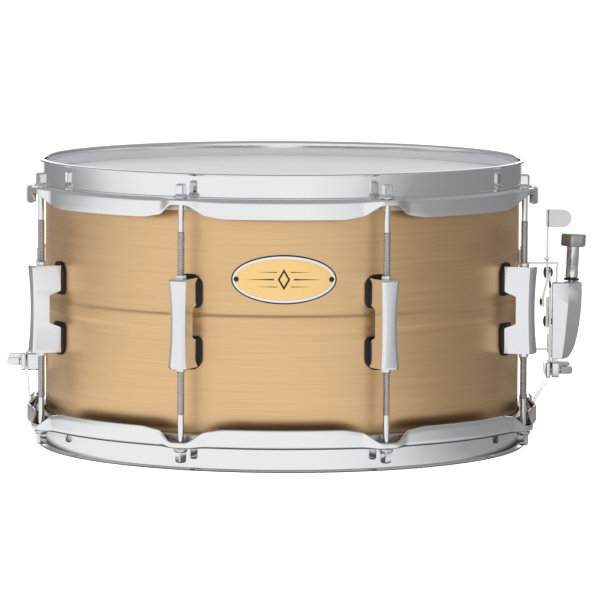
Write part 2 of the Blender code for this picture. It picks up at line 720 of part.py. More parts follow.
def make_lever(surface):
    pivot = BEAD_Z + LEVER_PIVOT
    crank = pivot - LEVER_CRANK
    top = BEAD_Z + TAB_TOP
    tab_low = top - TAB_HEIGHT
    body = strap_of_metal("lever", LEVER_X, crank - LEVER_HALF + 1 * MM, tab_low + 2 * MM, LEVER_HALF,
                          LEVER_JOGGLE, pivot - RIVET_RADIUS - 1 * MM)
    wide = LEVER_HALF + 1 * MM
    head = block("head", (LEVER_X, -wide, tab_low), (LEVER_X + SHEET, wide, top))
    radius = TAB_HEIGHT / 2
    centre = (LEVER_X + TAB_LENGTH - radius, tab_low + radius)
    arc = [(centre[0] + radius * cos(a), centre[1] + radius * sin(a))
           for a in [-pi / 2 + pi * k / 8 for k in range(9)]]
    outline = [(LEVER_X, top), (LEVER_X, tab_low)] + arc
    tab = slab("tab", outline, -wide, -wide + SHEET)
    body = combined(body, [head, tab], "UNION")
    cuts = [round_bar("pivot_hole", PIN_RADIUS + RUNNING, (LEVER_X - 1 * MM, 0, pivot),
                      (LEVER_X + 2 * SHEET, 0, pivot), 12)]
    x = LEVER_X - LEVER_JOGGLE
    cuts.append(round_bar("crank_hole", PIN_RADIUS * 0.75 + GAP, (x - 1 * MM, 0, crank),
                          (x + 2 * SHEET, 0, crank), 12))
    node("strainer_lever", combined(body, cuts, "DIFFERENCE"), surface, origin=lever_origin(), smooth=False)


def make_link(surface):
    pivot = link_pivot()
    body = strap_of_metal("link", LEVER_X, pivot - LINK_HALF - 1 * MM, pivot + LINK_LENGTH + LINK_HALF,
                          LINK_HALF)
    hole = round_bar("hole", PIN_RADIUS + RUNNING, (LEVER_X - 1 * MM, 0, pivot),
                     (LEVER_X + 2 * SHEET, 0, pivot), 12)
    origin = (LEVER_X + SHEET / 2, 0, pivot)
    node("strainer_link", combined(body, [hole], "DIFFERENCE"), surface, origin=origin, smooth=False)


def rivet(name, height, end, tail, surface):
    """A domed rivet along X through the strip at LEVER_X, with a tail head of this length at its end."""
    start = LEVER_X - RUNNING - RIVET_HEAD
    stations = [(start, 0.45 * RIVET_RADIUS), (start + 0.35 * RIVET_HEAD, 0.8 * RIVET_RADIUS)]
    stations += [(start + RIVET_HEAD, RIVET_RADIUS), (start + RIVET_HEAD, PIN_RADIUS)]
    stations += [(end - tail, PIN_RADIUS)]
    if tail:
        stations += [(end - tail, 0.75 * RIVET_RADIUS), (end, 0.6 * RIVET_RADIUS)]
    node(name, rod_along_x(name, stations, height), surface)


def rod_along_x(name, stations, height, y=0.0, sides=12):
    rings = []
    for x, radius in stations:
        ring = [Vector((x, y + radius * cos(tau * k / sides), height + radius * sin(tau * k / sides)))
                for k in range(sides)]
        rings.append(ring)
    return loft(name, rings)


def make_pins(surface):
    rivet("lever_pivot_pin", BEAD_Z + LEVER_PIVOT, HOUSING_BACK + RIVET_HEAD, RIVET_HEAD, surface)
    rivet("link_pivot_pin", link_pivot(), RAIL_X - GAP, 0, surface)
    x = LEVER_X - LEVER_JOGGLE
    small = PIN_RADIUS * 0.75
    stations = [(x - GAP - RIVET_HEAD, 0.5 * LINK_HALF), (x - GAP - 0.8 * RIVET_HEAD, 0.9 * LINK_HALF),
                (x - GAP, 0.9 * LINK_HALF), (x - GAP, small), (x + SHEET, small)]
    pin = rod_along_x("crank_pin", stations, BEAD_Z + LEVER_PIVOT - LEVER_CRANK)
    node("crank_pin", pin, surface, origin=lever_origin())


def make_knob(chrome, black):
    foot, way = knob_foot(), knob_way()
    turn = Matrix.Translation(foot) @ Matrix.Rotation(KNOB_LEAN, 4, "Y")
    stem_low = COLLAR_HEIGHT + 2 * GAP + 0.4 * MM
    top = stem_low + STEM_LENGTH
    outline = [(0, -SCREW_LENGTH), (SCREW_RADIUS, -SCREW_LENGTH), (SCREW_RADIUS, stem_low)]
    outline += [(STEM_RADIUS, stem_low), (STEM_RADIUS, top), (KNOB_RADIUS - 1 * MM, top)]
    outline += [(KNOB_RADIUS, top + 1 * MM), (KNOB_RADIUS, top + KNOB_HEIGHT - 1.2 * MM)]
    outline += [(0.8 * KNOB_RADIUS, top + KNOB_HEIGHT - 0.5 * MM), (0, top + KNOB_HEIGHT)]
    node("tension_knob", turned("knob", outline, 24), chrome, turn)
    low = GAP + 0.3 * MM
    bore = SCREW_RADIUS + RUNNING
    collar = [(bore, low), (COLLAR_RADIUS, low), (COLLAR_RADIUS, low + COLLAR_HEIGHT),
              (bore, low + COLLAR_HEIGHT)]
    node("knob_washer", turned("washer", collar, 20), black, turn)


def make_clamp(chrome):
    """The inner clamp plate and its two key screws on the strainer."""
    back = STRAP_X - STRAP_THICK / 2 - GAP - CLAMP_THICK
    top, low = BEAD_Z + HOUSING_LOW - 1.5 * MM, BEAD_Z + JAW_LOW
    body = block("clamp", (back, -JAW_HALF, low), (back + CLAMP_THICK, JAW_HALF, top))
    body = bevelled(body, 0.8 * MM)
    holes = [clamp_hole(side, back - 1 * MM, back + CLAMP_THICK + 1 * MM) for side in (-1, 1)]
    node("strainer_clamp_plate", combined(body, holes, "DIFFERENCE"), chrome, smooth=False)
    seat = HOUSING_BACK + JAW_THICK + GAP
    for number, side in enumerate((-1, 1), 1):
        origin = (seat, side * screw_y(), clamp_z())
        mesh = key_screw(seat, back, side, clamp_z())
        node(f"strainer_clamp_screw_{number}", mesh, chrome, origin=origin)


def key_screw(seat, end, side, height):
    """A square-headed screw along X from its seat to its tip."""
    out = 1 if seat > end else -1
    y = side * screw_y()
    flange = CLAMP_HEAD_HALF + 0.9 * MM
    stations = [
        (end, CLAMP_SCREW_RADIUS - 0.4 * MM, False),
        (end + out * 0.8 * MM, CLAMP_SCREW_RADIUS, False),
        (seat, CLAMP_SCREW_RADIUS, False),
        (seat, flange, False),
        (seat + out * 1.2 * MM, flange, False),
        (seat + out * 1.6 * MM, CLAMP_HEAD_HALF, True),
        (seat + out * (CLAMP_HEAD_LENGTH + 0.4 * MM), CLAMP_HEAD_HALF, True),
        (seat + out * (CLAMP_HEAD_LENGTH + 1.0 * MM), CLAMP_HEAD_HALF - 0.5 * MM, True),
    ]
    sides = 8
    rings = []
    for x, radius, square in stations:
        ring = []
        for k in range(sides):
            angle = tau * k / sides
            reach = radius / max(abs(cos(angle)), abs(sin(angle))) if square else radius
            ring.append(Vector((x, y + reach * cos(angle), height + reach * sin(angle))))
        rings.append(ring)
    return loft("key_screw", rings)


# ---- butt end


def butt_z():
    return BEAD_Z + (BUTT_LOW + BUTT_BLOCK_TOP) / 2


def butt_holes(start, end):
    """Cutters for the two clamp screws, from one X to another."""
    radius = CLAMP_SCREW_RADIUS + RUNNING / 2
    holes = []
    for side in (-1, 1):
        y = side * screw_y()
        holes.append(round_bar("hole", radius, (start, y, butt_z()), (end, y, butt_z()), 12))
    return holes


def make_butt(chrome):
    low, top = BEAD_Z + BUTT_LOW, BEAD_Z + BUTT_PLATE_TOP
    plate = block("plate", (-BASE_BACK - SHEET, -0.6 * BUTT_HALF, low - 2 * MM),
                  (-BASE_BACK, 0.6 * BUTT_HALF, top))
    body = block("block", (-BUTT_BLOCK_X, -BUTT_HALF, low),
                 (-BASE_BACK - SHEET + 0.5 * MM, BUTT_HALF, BEAD_Z + BUTT_BLOCK_TOP))
    body = bevelled(body, 1.2 * MM)
    rib = [(-BASE_BACK - 0.5 * MM, top - 4 * MM), (-BASE_BACK - 5 * MM, top - 12 * MM),
           (-BUTT_BLOCK_X + 2 * MM, BEAD_Z + BUTT_BLOCK_TOP - 1 * MM),
           (-BASE_BACK - 0.5 * MM, BEAD_Z + BUTT_BLOCK_TOP - 1 * MM)]
    rib_half = 0.45 * BUTT_HALF
    body = combined(plate, [body, slab("rib", rib, -rib_half, rib_half)], "UNION")
    front = BUTT_BLOCK_X + GAP + STRAP_THICK + GAP
    holes = butt_holes(-BUTT_BLOCK_X - 1 * MM, -BASE_BACK - SHEET - 1 * MM)
    node("butt_bracket", combined(body, holes, "DIFFERENCE"), chrome, smooth=False)
    body = block("clamp", (-front - BUTT_CLAMP_THICK, -BUTT_HALF, low),
                 (-front, BUTT_HALF, BEAD_Z + BUTT_BLOCK_TOP))
    holes = butt_holes(-front - BUTT_CLAMP_THICK - 1 * MM, -front + 1 * MM)
    body = combined(bevelled(body, 0.8 * MM), holes, "DIFFERENCE")
    node("butt_clamp_plate", body, chrome, smooth=False)
    seat = -front - BUTT_CLAMP_THICK - GAP
    for number, side in enumerate((-1, 1), 1):
        origin = (seat, side * screw_y(), butt_z())
        mesh = key_screw(seat, -BASE_BACK - SHEET - 2 * MM, side, butt_z())
        node(f"butt_clamp_screw_{number}", mesh, chrome, origin=origin)


# ---- snares and badge


def strap_mesh(name, side, clamp_x, clamp_low, clamp_top):
    """A film strap from a clamp, down the outside of the gate and in under the head."""
    gate = SKIRT_RADIUS - GATE_INSET + GAP + STRAP_THICK
    under = from_end(RIM_RISE - WALL_HEIGHT, -1)
    slot = from_end(0, -1) - GAP - STRAP_THICK
    line = [
        (clamp_x, clamp_top),
        (clamp_x, clamp_low - 1 * MM),
        (gate + 1.5 * MM, from_end(RIM_RISE - SKIRT_TIP, -1)),
        (gate, from_end(RIM_RISE - SKIRT_TIP + 0.6 * SKIRT_HEIGHT, -1)),
        (gate - 0.5 * MM, under - 0.8 * MM),
        (gate - 2.0 * MM, under - 2.6 * MM),
        (WALL_MID + 3 * MM, slot + 0.9 * MM),
        (WALL_MID - 4 * MM, slot),
        (WIRE_HALF_LENGTH + GAP, slot),
    ]
    line = [(side * x, z) for x, z in line]
    return slab(name, thicken(line, STRAP_THICK), -STRAP_WIDTH / 2, STRAP_WIDTH / 2)


def make_straps(film):
    low, top = BEAD_Z + JAW_LOW, BEAD_Z + HOUSING_LOW - 1.5 * MM
    node("strainer_strap", strap_mesh("strainer_strap", 1, STRAP_X, low, top), film, smooth=False)
    butt_x = BUTT_BLOCK_X + GAP + STRAP_THICK / 2
    mesh = strap_mesh("butt_strap", -1, butt_x, BEAD_Z + BUTT_LOW, BEAD_Z + BUTT_BLOCK_TOP)
    node("butt_strap", mesh, film, smooth=False)


def make_snares(surface):
    """Two end plates joined by straight strands, in one piece."""
    inner = WIRE_HALF_LENGTH - END_PLATE
    ends = [-WIRE_HALF_LENGTH, -inner, inner, WIRE_HALF_LENGTH]
    first = -STRAND_PITCH * (STRAND_COUNT - 1) / 2 - STRAND_SIZE / 2
    across = []
    for k in range(STRAND_COUNT):
        across += [first + k * STRAND_PITCH, first + k * STRAND_PITCH + STRAND_SIZE]
    top = from_end(0, -1) - GAP
    bm = bmesh.new()
    grid = [[bm.verts.new((x, y, top)) for y in across] for x in ends]
    for i in range(len(ends) - 1):
        for j in range(len(across) - 1):
            if i != 1 or j % 2 == 0:
                bm.faces.new((grid[i][j], grid[i + 1][j], grid[i + 1][j + 1], grid[i][j + 1]))
    lowered = bmesh.ops.extrude_face_region(bm, geom=bm.faces[:])
    moved = [part for part in lowered["geom"] if isinstance(part, bmesh.types.BMVert)]
    bmesh.ops.translate(bm, verts=moved, vec=(0, 0, -STRAND_SIZE))
    node("snare_wires", mesh_from(bm, "snare_wires"), surface, smooth=False)


def bent_to_shell(radius, across, up):
    """A point of the badge, across and up from its centre, laid round the shell at this radius."""
    turn = across / radius
    return (radius * sin(turn), -radius * cos(turn), BEAD_Z + BADGE_UP + up)


def make_badge(surface):
    """An oval plate bent to the shell, in one piece with its two rivet heads."""
    count, shares = 28, (1.0, 0.5)
    bm = bmesh.new()
    faces = []
    for radius in (SHELL_RADIUS + GAP, SHELL_RADIUS + GAP + BADGE_THICK):
        rings = []
        for share in shares:
            wide, tall = BADGE_HALF_WIDTH * share, BADGE_HALF_HEIGHT * share
            angles = [tau * k / count for k in range(count)]
            points = [bent_to_shell(radius, wide * cos(a), tall * sin(a)) for a in angles]
            rings.append([bm.verts.new(point) for point in points])
        centre = bm.verts.new(bent_to_shell(radius, 0, 0))
        for outer, inner in zip(rings, rings[1:]):
            for k in range(count):
                after = (k + 1) % count
                bm.faces.new((outer[k], outer[after], inner[after], inner[k]))
        for k in range(count):
            bm.faces.new((rings[-1][k], rings[-1][(k + 1) % count], centre))
        faces.append(rings[0])
    for k in range(count):
        after = (k + 1) % count
        bm.faces.new((faces[0][k], faces[0][after], faces[1][after], faces[1][k]))
    plate = mesh_from(bm, "badge")
    rivets = []
    for side in (-1, 1):
        turn = side * (BADGE_HALF_WIDTH - 4 * MM) / SHELL_RADIUS
        way = Vector((sin(turn), -cos(turn), 0))
        start = way * (SHELL_RADIUS + GAP + 0.3 * MM)
        end = way * (SHELL_RADIUS + GAP + BADGE_THICK + 0.8 * MM)
        lift = Vector((0, 0, BEAD_Z + BADGE_UP))
        rivets.append(round_bar("rivet", 1.6 * MM, start + lift, end + lift, 10))
    node("badge", combined(plate, rivets, "UNION"), surface)


def main():
    for old in list(bpy.data.objects):
        bpy.data.objects.remove(old)
    for old in list(bpy.data.materials):
        bpy.data.materials.remove(old)
    chrome = material("polished_chrome", (0.80, 0.80, 0.82), 0.12, 1.0)
    brass = material("satin_brass", (0.60, 0.36, 0.18), 0.35, 1.0)
    coated = material("coated_film", (0.60, 0.60, 0.62), 0.60, 0.0)
    clear = material("clear_film", (0.85, 0.86, 0.88), 0.15, 0.0)
    aluminium = material("flesh_hoop_aluminium", (0.66, 0.66, 0.68), 0.40, 1.0)
    rubber = material("black_rubber", (0.02, 0.02, 0.02), 0.70, 0.0)
    nylon = material("black_nylon", (0.03, 0.03, 0.03), 0.50, 0.0)
    steel = material("dark_steel", (0.30, 0.29, 0.28), 0.30, 1.0)
    wire = material("snare_wire_steel", (0.70, 0.70, 0.72), 0.25, 1.0)
    gold = material("badge_gold", (0.62, 0.48, 0.22), 0.35, 1.0)

    make_shell(brass)
    for side, name in ((1, "batter"), (-1, "snare")):
        make_head(f"{name}_head", side, coated if side > 0 else clear)
        make_flesh_hoop(f"{name}_flesh_hoop", side, aluminium)
        make_hoop(f"{name}_hoop", side, side < 0, chrome)
    make_lugs(chrome, rubber)
    make_base(chrome)
    make_housing(chrome)
    make_slide_plate(chrome)
    make_lever(chrome)
    make_link(chrome)
    make_pins(steel)
    make_knob(chrome, nylon)
    make_clamp(chrome)
    make_butt(chrome)
    make_straps(clear)
    make_snares(wire)
    make_badge(gold)


main()
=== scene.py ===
import json
from math import atan2, cos, pi, radians, sin, tau

import bmesh
import bpy
from mathutils import Matrix, Vector


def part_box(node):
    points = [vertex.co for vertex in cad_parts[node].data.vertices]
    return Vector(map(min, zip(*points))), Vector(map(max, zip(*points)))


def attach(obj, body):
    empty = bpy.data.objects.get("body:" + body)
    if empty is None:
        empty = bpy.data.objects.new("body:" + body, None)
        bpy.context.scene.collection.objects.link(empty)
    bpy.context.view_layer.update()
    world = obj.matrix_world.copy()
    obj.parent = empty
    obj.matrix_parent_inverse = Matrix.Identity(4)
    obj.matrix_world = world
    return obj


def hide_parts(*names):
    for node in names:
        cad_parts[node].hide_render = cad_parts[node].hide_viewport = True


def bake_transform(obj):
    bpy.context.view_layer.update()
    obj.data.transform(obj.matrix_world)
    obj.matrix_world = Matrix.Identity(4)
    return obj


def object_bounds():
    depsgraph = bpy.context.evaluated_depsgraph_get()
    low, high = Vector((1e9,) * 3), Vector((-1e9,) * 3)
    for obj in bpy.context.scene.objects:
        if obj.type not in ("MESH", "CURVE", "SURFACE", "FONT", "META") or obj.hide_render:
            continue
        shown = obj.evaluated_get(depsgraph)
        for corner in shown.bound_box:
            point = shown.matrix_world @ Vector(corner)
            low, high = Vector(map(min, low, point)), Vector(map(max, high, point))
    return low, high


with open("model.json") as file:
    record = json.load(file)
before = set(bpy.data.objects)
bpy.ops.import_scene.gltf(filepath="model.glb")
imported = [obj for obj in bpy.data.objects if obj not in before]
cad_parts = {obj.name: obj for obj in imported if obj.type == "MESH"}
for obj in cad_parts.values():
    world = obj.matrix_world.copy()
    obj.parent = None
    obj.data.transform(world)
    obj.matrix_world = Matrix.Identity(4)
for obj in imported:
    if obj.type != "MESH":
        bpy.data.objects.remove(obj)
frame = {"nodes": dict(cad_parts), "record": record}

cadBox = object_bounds()
mm = 0.001
scene = bpy.context.scene

# heights that everything hangs on, read from the frame
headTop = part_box("batter_head")[1].z
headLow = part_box("snare_head")[0].z
beadHeight = (headTop + headLow) / 2
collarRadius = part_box("batter_head")[1].y
lugCount = 8


def rodAngle(index):
    return tau * (index + 0.5) / lugCount


# height of a point this far outward from the head at one end
def fromEnd(outward, end):
    return outward if end > 0 else 2 * beadHeight - outward


camera = {"away": 3693.7, "up": 269.5, "across": 13.35, "tiltDown": 5.646, "turn": -0.631,
          "roll": 0.222, "lens": 299.32}


def makeCamera():
    lens = bpy.data.cameras.new("camera")
    lens.lens = camera["lens"]
    lens.sensor_width = 36
    lens.clip_end = 60
    eye = bpy.data.objects.new("camera", lens)
    scene.collection.objects.link(eye)
    spin = Matrix.Rotation(radians(camera["turn"]), 4, "Z")
    place = Matrix.Translation(Vector((camera["across"], -camera["away"], camera["up"])) * mm)
    tilt = Matrix.Rotation(radians(90 - camera["tiltDown"]), 4, "X")
    roll = Matrix.Rotation(radians(camera["roll"]), 4, "Z")
    eye.matrix_world = spin @ place @ tilt @ roll
    scene.camera = eye


studio = {"keyPlace": (-1.6, -2.2, 2.2), "keyPower": 48, "keySize": 1.6,
          "fillPlace": (2.0, -1.8, 1.6), "fillPower": 20, "fillSize": 2.0, "lampAim": (0, 0, -0.1),
          "floorRadius": 14, "floorMirrored": 1.0, "floorGlow": 0.85, "paper": "#F2F2F2",
          "underReach": 0.25,  # metres out where the shade under the drum ends
          # painted shadow: brightness of the mirrored floor glow by distance from the middle over underReach,
          # darkest in a ring round the drum's foot
          "paintedShadeUnderDrum": [(0.0, 0.9), (0.62, 0.9), (0.688, 0.12), (0.77, 0.12), (0.83, 1.0)],
          "highFrom": 0.18, "highFull": 0.50,  # upward share of a direction where overhead begins and is full
          "high": 0.40,  # brightness overhead, a grey flag over the table
          "window": (-0.469, -0.883, 0),  # where the large soft light stands
          # from the window's side to straight away from it
          "around": [(0.0, 1.0), (0.11, 1.0), (0.25, 0.86), (0.37, 0.58), (0.50, 0.38), (0.67, 0.32),
                     (0.86, 0.29), (0.97, 0.25), (1.0, 0.24)],
          "behind": [(0.0, 0.0), (0.962, 0.0), (0.985, 0.9), (1.0, 1.3)]}  # white paper straight behind


# sRGB hex to linear with alpha
def hexColour(text):
    parts = [int(text.lstrip("#")[k:k + 2], 16) / 255 for k in (0, 2, 4)]
    return [p / 12.92 if p <= 0.04045 else ((p + 0.055) / 1.055) ** 2.4 for p in parts] + [1.0]


# one node: settings are properties or socket values, links are socket -> (node, output)
def addNode(tree, kind, settings=None, links=None):
    made = tree.nodes.new(kind)
    for key, value in (settings or {}).items():
        if isinstance(key, str) and hasattr(made, key) and key not in made.inputs:
            setattr(made, key, value)
        else:
            made.inputs[key].default_value = value
    for key, (other, output) in (links or {}).items():
        tree.links.new(other.outputs[output], made.inputs[key])
    return made


# noise in the piece's own space, its grain in mm
def addNoise(tree, where, sizeMm, detail):
    return addNode(tree, "ShaderNodeTexNoise", {"Scale": 1000 / sizeMm, "Detail": detail},
                   {"Vector": (where, "Object")})


# a texture's middle tones spread from low to high
def addRange(tree, source, low, high, start=0.3, end=0.7):
    return addNode(tree, "ShaderNodeMapRange", {1: start, 2: end, 3: low, 4: high}, {0: (source, 0)})


def addBump(tree, height, strength, distance):
    return addNode(tree, "ShaderNodeBump", {"Strength": strength, "Distance": distance},
                   {"Height": (height, 0)})


# link each node's first output to the shader's socket of that name
def feed(tree, shader, sources):
    for socket, source in sources.items():
        tree.links.new(source.outputs[0], shader.inputs[socket])


# stops are (position, colour) in rising order
def fillRamp(ramp, stops):
    elements = ramp.color_ramp.elements
    while len(elements) > 1:
        elements.remove(elements[-1])
    elements[0].position, elements[0].color = stops[0]
    for position, colour in stops[1:]:
        elements.new(position).color = colour


def areaLight(name, place, aim, size, power):
    data = bpy.data.lights.new(name, "AREA")
    data.shape = "DISK"
    data.size = size
    data.energy = power
    lamp = bpy.data.objects.new(name, data)
    scene.collection.objects.link(lamp)
    lamp.visible_glossy = False  # chrome mirrors the window, not the lamps
    way = Vector(aim) - Vector(place)
    lamp.matrix_world = Matrix.Translation(place) @ way.to_track_quat("-Z", "Y").to_matrix().to_4x4()


# brightness of the studio this way: a broad window in front, dark flags at the sides, paper behind
def aroundTone(tree, vector, output):
    flat = addNode(tree, "ShaderNodeVectorMath", {"operation": "MULTIPLY", 1: (1, 1, 0)},
                   {0: (vector, output)})
    unit = addNode(tree, "ShaderNodeVectorMath", {"operation": "NORMALIZE"}, {0: (flat, 0)})
    tones = []
    for way, stops in (((-Vector(studio["window"])).normalized(), "around"), (Vector((0, 1, 0)), "behind")):
        facing = addNode(tree, "ShaderNodeVectorMath", {"operation": "DOT_PRODUCT", 1: way},
                         {0: (unit, 0)})
        share = addNode(tree, "ShaderNodeMapRange", {1: -1.0, 2: 1.0}, {0: (facing, "Value")})
        ramp = addNode(tree, "ShaderNodeValToRGB", None, {0: (share, 0)})
        fillRamp(ramp, [(at, (tone, tone, tone, 1)) for at, tone in studio[stops]])
        tones.append(ramp)
    return addNode(tree, "ShaderNodeMix", {"data_type": "RGBA", "blend_type": "ADD", 0: 1.0},
                   {6: (tones[0], 0), 7: (tones[1], 0)})


def makeStudio():
    world = bpy.data.worlds.new("studio")
    world.use_nodes = True
    scene.world = world
    tree = world.node_tree
    tree.nodes.clear()
    where = addNode(tree, "ShaderNodeTexCoord")
    split = addNode(tree, "ShaderNodeSeparateXYZ", None, {0: (where, "Generated")})
    around = aroundTone(tree, where, "Generated")
    overhead = addNode(tree, "ShaderNodeMapRange", {1: studio["highFrom"], 2: studio["highFull"]},
                       {0: (split, "Z")})
    low = addNode(tree, "ShaderNodeMix", {"data_type": "RGBA", 7: (studio["high"],) * 3 + (1,)},
                  {0: (overhead, 0), 6: (around, 2)})
    sky = addNode(tree, "ShaderNodeBackground", {"Strength": 1.0}, {"Color": (low, 2)})
    seen = addNode(tree, "ShaderNodeBackground", {"Color": (1, 1, 1, 1), "Strength": 1.0})
    ray = addNode(tree, "ShaderNodeLightPath")
    mix = addNode(tree, "ShaderNodeMixShader", None,
                  {0: (ray, "Is Camera Ray"), 1: (sky, 0), 2: (seen, 0)})
    addNode(tree, "ShaderNodeOutputWorld", None, {"Surface": (mix, 0)})

    bm = bmesh.new()
    bmesh.ops.create_circle(bm, cap_ends=True, segments=96, radius=studio["floorRadius"])
    mesh = bpy.data.meshes.new("floor")
    bm.to_mesh(mesh)
    bm.free()
    floor = bpy.data.objects.new("floor", mesh)
    floor.location.z = cadBox[0][2]
    scene.collection.objects.link(floor)
    mesh.materials.append(makePaper())
    for lamp in ("key", "fill"):
        areaLight(lamp + "Light", studio[lamp + "Place"], studio["lampAim"], studio[lamp + "Size"],
                  studio[lamp + "Power"])
    scene.view_settings.view_transform = "Standard"


# matte paper floor, white to look at. For what mirrors it, it glows with painted light, flagged darker at the
# sides, with a painted shadow in a ring round the drum's foot
def makePaper():
    paper = bpy.data.materials.new("matte studio paper")
    paper.use_nodes = True
    tree = paper.node_tree
    tree.nodes.clear()
    where = addNode(tree, "ShaderNodeTexCoord")
    around = aroundTone(tree, where, "Object")
    reach = addNode(tree, "ShaderNodeVectorMath", {"operation": "LENGTH"}, {0: (where, "Object")})
    share = addNode(tree, "ShaderNodeMath", {"operation": "MULTIPLY", 1: 1 / studio["underReach"]},
                    {0: (reach, "Value")})
    # painted shadow: the glow that reflections see is dimmed in a ring round the drum's foot
    shade = addNode(tree, "ShaderNodeValToRGB", None, {0: (share, 0)})
    fillRamp(shade, [(at, (tone, tone, tone, 1)) for at, tone in studio["paintedShadeUnderDrum"]])
    strength = addNode(tree, "ShaderNodeMath", {"operation": "MULTIPLY", 1: studio["floorMirrored"]},
                       {0: (shade, 0)})
    mirrored = addNode(tree, "ShaderNodeEmission", None, {"Color": (around, 2), "Strength": (strength, 0)})
    sheet = addNode(tree, "ShaderNodeBsdfDiffuse", {"Color": hexColour(studio["paper"])})
    glow = addNode(tree, "ShaderNodeEmission", {"Color": (1, 1, 1, 1), "Strength": studio["floorGlow"]})
    looked = addNode(tree, "ShaderNodeAddShader", None, {0: (sheet, 0), 1: (glow, 0)})
    ray = addNode(tree, "ShaderNodeLightPath")
    mix = addNode(tree, "ShaderNodeMixShader", None,
                  {0: (ray, "Is Camera Ray"), 1: (mirrored, 0), 2: (looked, 0)})
    side = addNode(tree, "ShaderNodeNewGeometry")
    clear = addNode(tree, "ShaderNodeBsdfTransparent")
    sheetOrNone = addNode(tree, "ShaderNodeMixShader", None,
                          {0: (side, "Backfacing"), 1: (mix, 0), 2: (clear, 0)})
    addNode(tree, "ShaderNodeOutputMaterial", None, {"Surface": (sheetOrNone, 0)})
    return paper


makeCamera()
makeStudio()
print("camera, light and floor are set")


def newPiece(name, bm, surface, body, sharp=35, stands=(), bevel=0):
    return wrapPiece(name, meshOf(bm, name), surface, body, sharp, stands, bevel)


def wrapPiece(name, mesh, surface, body, sharp=35, stands=(), bevel=0, place=None):
    mesh.materials.clear()
    mesh.materials.append(surface)
    piece = bpy.data.objects.new(name, mesh)
    scene.collection.objects.link(piece)
    if place is not None:
        piece.matrix_world = place
    if bevel:
        soft = piece.modifiers.new("edges", "BEVEL")
        soft.width = bevel
        soft.segments = 3
        soft.limit_method = "ANGLE"
        soft.angle_limit = radians(28)
        soft.harden_normals = True
        mesh.shade_smooth()
        mesh.set_sharp_from_angle(angle=radians(60))
    else:
        mesh.shade_smooth()
        mesh.set_sharp_from_angle(angle=radians(sharp))
    if stands:
        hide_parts(*stands)
    if body:
        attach(piece, body)
    return piece


# skin through rings of the same length
def addRings(bm, rings, loop=False):
    made = [[bm.verts.new(p) for p in ring] for ring in rings]
    pairs = list(zip(made, made[1:]))
    if loop:
        pairs.append((made[-1], made[0]))
    for first, second in pairs:
        for k in range(len(first)):
            after = (k + 1) % len(first)
            bm.faces.new((first[k], first[after], second[after], second[k]))
    if not loop:
        bm.faces.new(made[0][::-1])
        bm.faces.new(made[-1])


# turn a closed outline of (radius, height) about Z, with a single point wherever the radius is 0
def addTurned(bm, outline, segments, shift=(0, 0, 0), turn=None):
    turn = turn or Matrix.Identity(4)
    shift = Vector(shift)
    columns = []
    for radius, height in outline:
        if radius == 0:
            columns.append([bm.verts.new(turn @ Vector((0, 0, height)) + shift)] * segments)
            continue
        columns.append([bm.verts.new(turn @ Vector((radius * cos(tau * k / segments),
                                                    radius * sin(tau * k / segments), height)) + shift)
                        for k in range(segments)])
    for first, second in zip(columns, columns[1:] + columns[:1]):
        for k in range(segments):
            after = (k + 1) % segments
            corners = list(dict.fromkeys((first[k], first[after], second[after], second[k])))
            if len(corners) > 2:
                bm.faces.new(corners)


# the line with its corners rounded, the same number of points for each corner
def rounded(points, radius, steps=5, closed=False):
    points = [Vector(p) for p in points]
    count = len(points)
    out = []
    for k, p in enumerate(points):
        if not closed and k in (0, count - 1):
            out.append(p.copy())
            continue
        before, after = points[k - 1], points[(k + 1) % count]
        size = radius[k] if isinstance(radius, (list, tuple)) else radius
        reach = min(size, 0.48 * (before - p).length, 0.48 * (after - p).length)
        start = p + (before - p).normalized() * reach
        end = p + (after - p).normalized() * reach
        for j in range(steps + 1):
            t = j / steps
            out.append(start * (1 - t) ** 2 + p * 2 * t * (1 - t) + end * t * t)
    return out


# outline of a sheet whose middle is the line, with rounded ends
def thickened(line, thickness, tip=3):
    left, right = [], []
    for k, p in enumerate(line):
        before = line[max(k - 1, 0)]
        after = line[min(k + 1, len(line) - 1)]
        way = (after - before).normalized()
        side = Vector((-way.y, way.x)) * thickness / 2
        left.append(p + side)
        right.append(p - side)
    ends = []
    for p, inner in ((line[-1], line[-2]), (line[0], line[1])):
        way = (p - inner).normalized()
        start = atan2(way.y, way.x) + pi / 2
        turns = [start - pi * j / (tip + 1) for j in range(1, tip + 1)]
        ends.append([p + Vector((cos(a), sin(a))) * thickness / 2 for a in turns])
    return left + ends[0] + right[::-1] + ends[1]


# the mesh with the cutter mesh cut from it
def booleaned(mesh, cutter):
    target = bpy.data.objects.new("work", mesh)
    helper = bpy.data.objects.new("helper", cutter)
    for o in (target, helper):
        scene.collection.objects.link(o)
    change = target.modifiers.new("change", "BOOLEAN")
    change.operation = "DIFFERENCE"
    change.solver = "EXACT"
    change.object = helper
    bpy.context.view_layer.update()
    graph = bpy.context.evaluated_depsgraph_get()
    result = bpy.data.meshes.new_from_object(target.evaluated_get(graph))
    for o in (target, helper):
        bpy.data.objects.remove(o)
    return result


def meshOf(bm, name="work"):
    bmesh.ops.recalc_face_normals(bm, faces=bm.faces[:])
    mesh = bpy.data.meshes.new(name)
    bm.to_mesh(mesh)
    bm.free()
    return mesh


def ringMesh(rings, loop=False):
    bm = bmesh.new()
    addRings(bm, rings, loop)
    return meshOf(bm)


# mesh of a closed outline in mm, turned about Z
def turnedMesh(outline, segments):
    bm = bmesh.new()
    addTurned(bm, [(r * mm, z * mm) for r, z in outline], segments)
    return meshOf(bm)


def newMaterial(name):
    made = bpy.data.materials.new(name)
    made.use_nodes = True
    return made, made.node_tree, made.node_tree.nodes["Principled BSDF"]


chromeLook = {"colour": "#E9EAEC", "roughness": 0.045, "smudge": 0.05, "smudgeMm": 35, "waveMm": 60,
              "wave": 0.02, "waveDeep": 0.002}


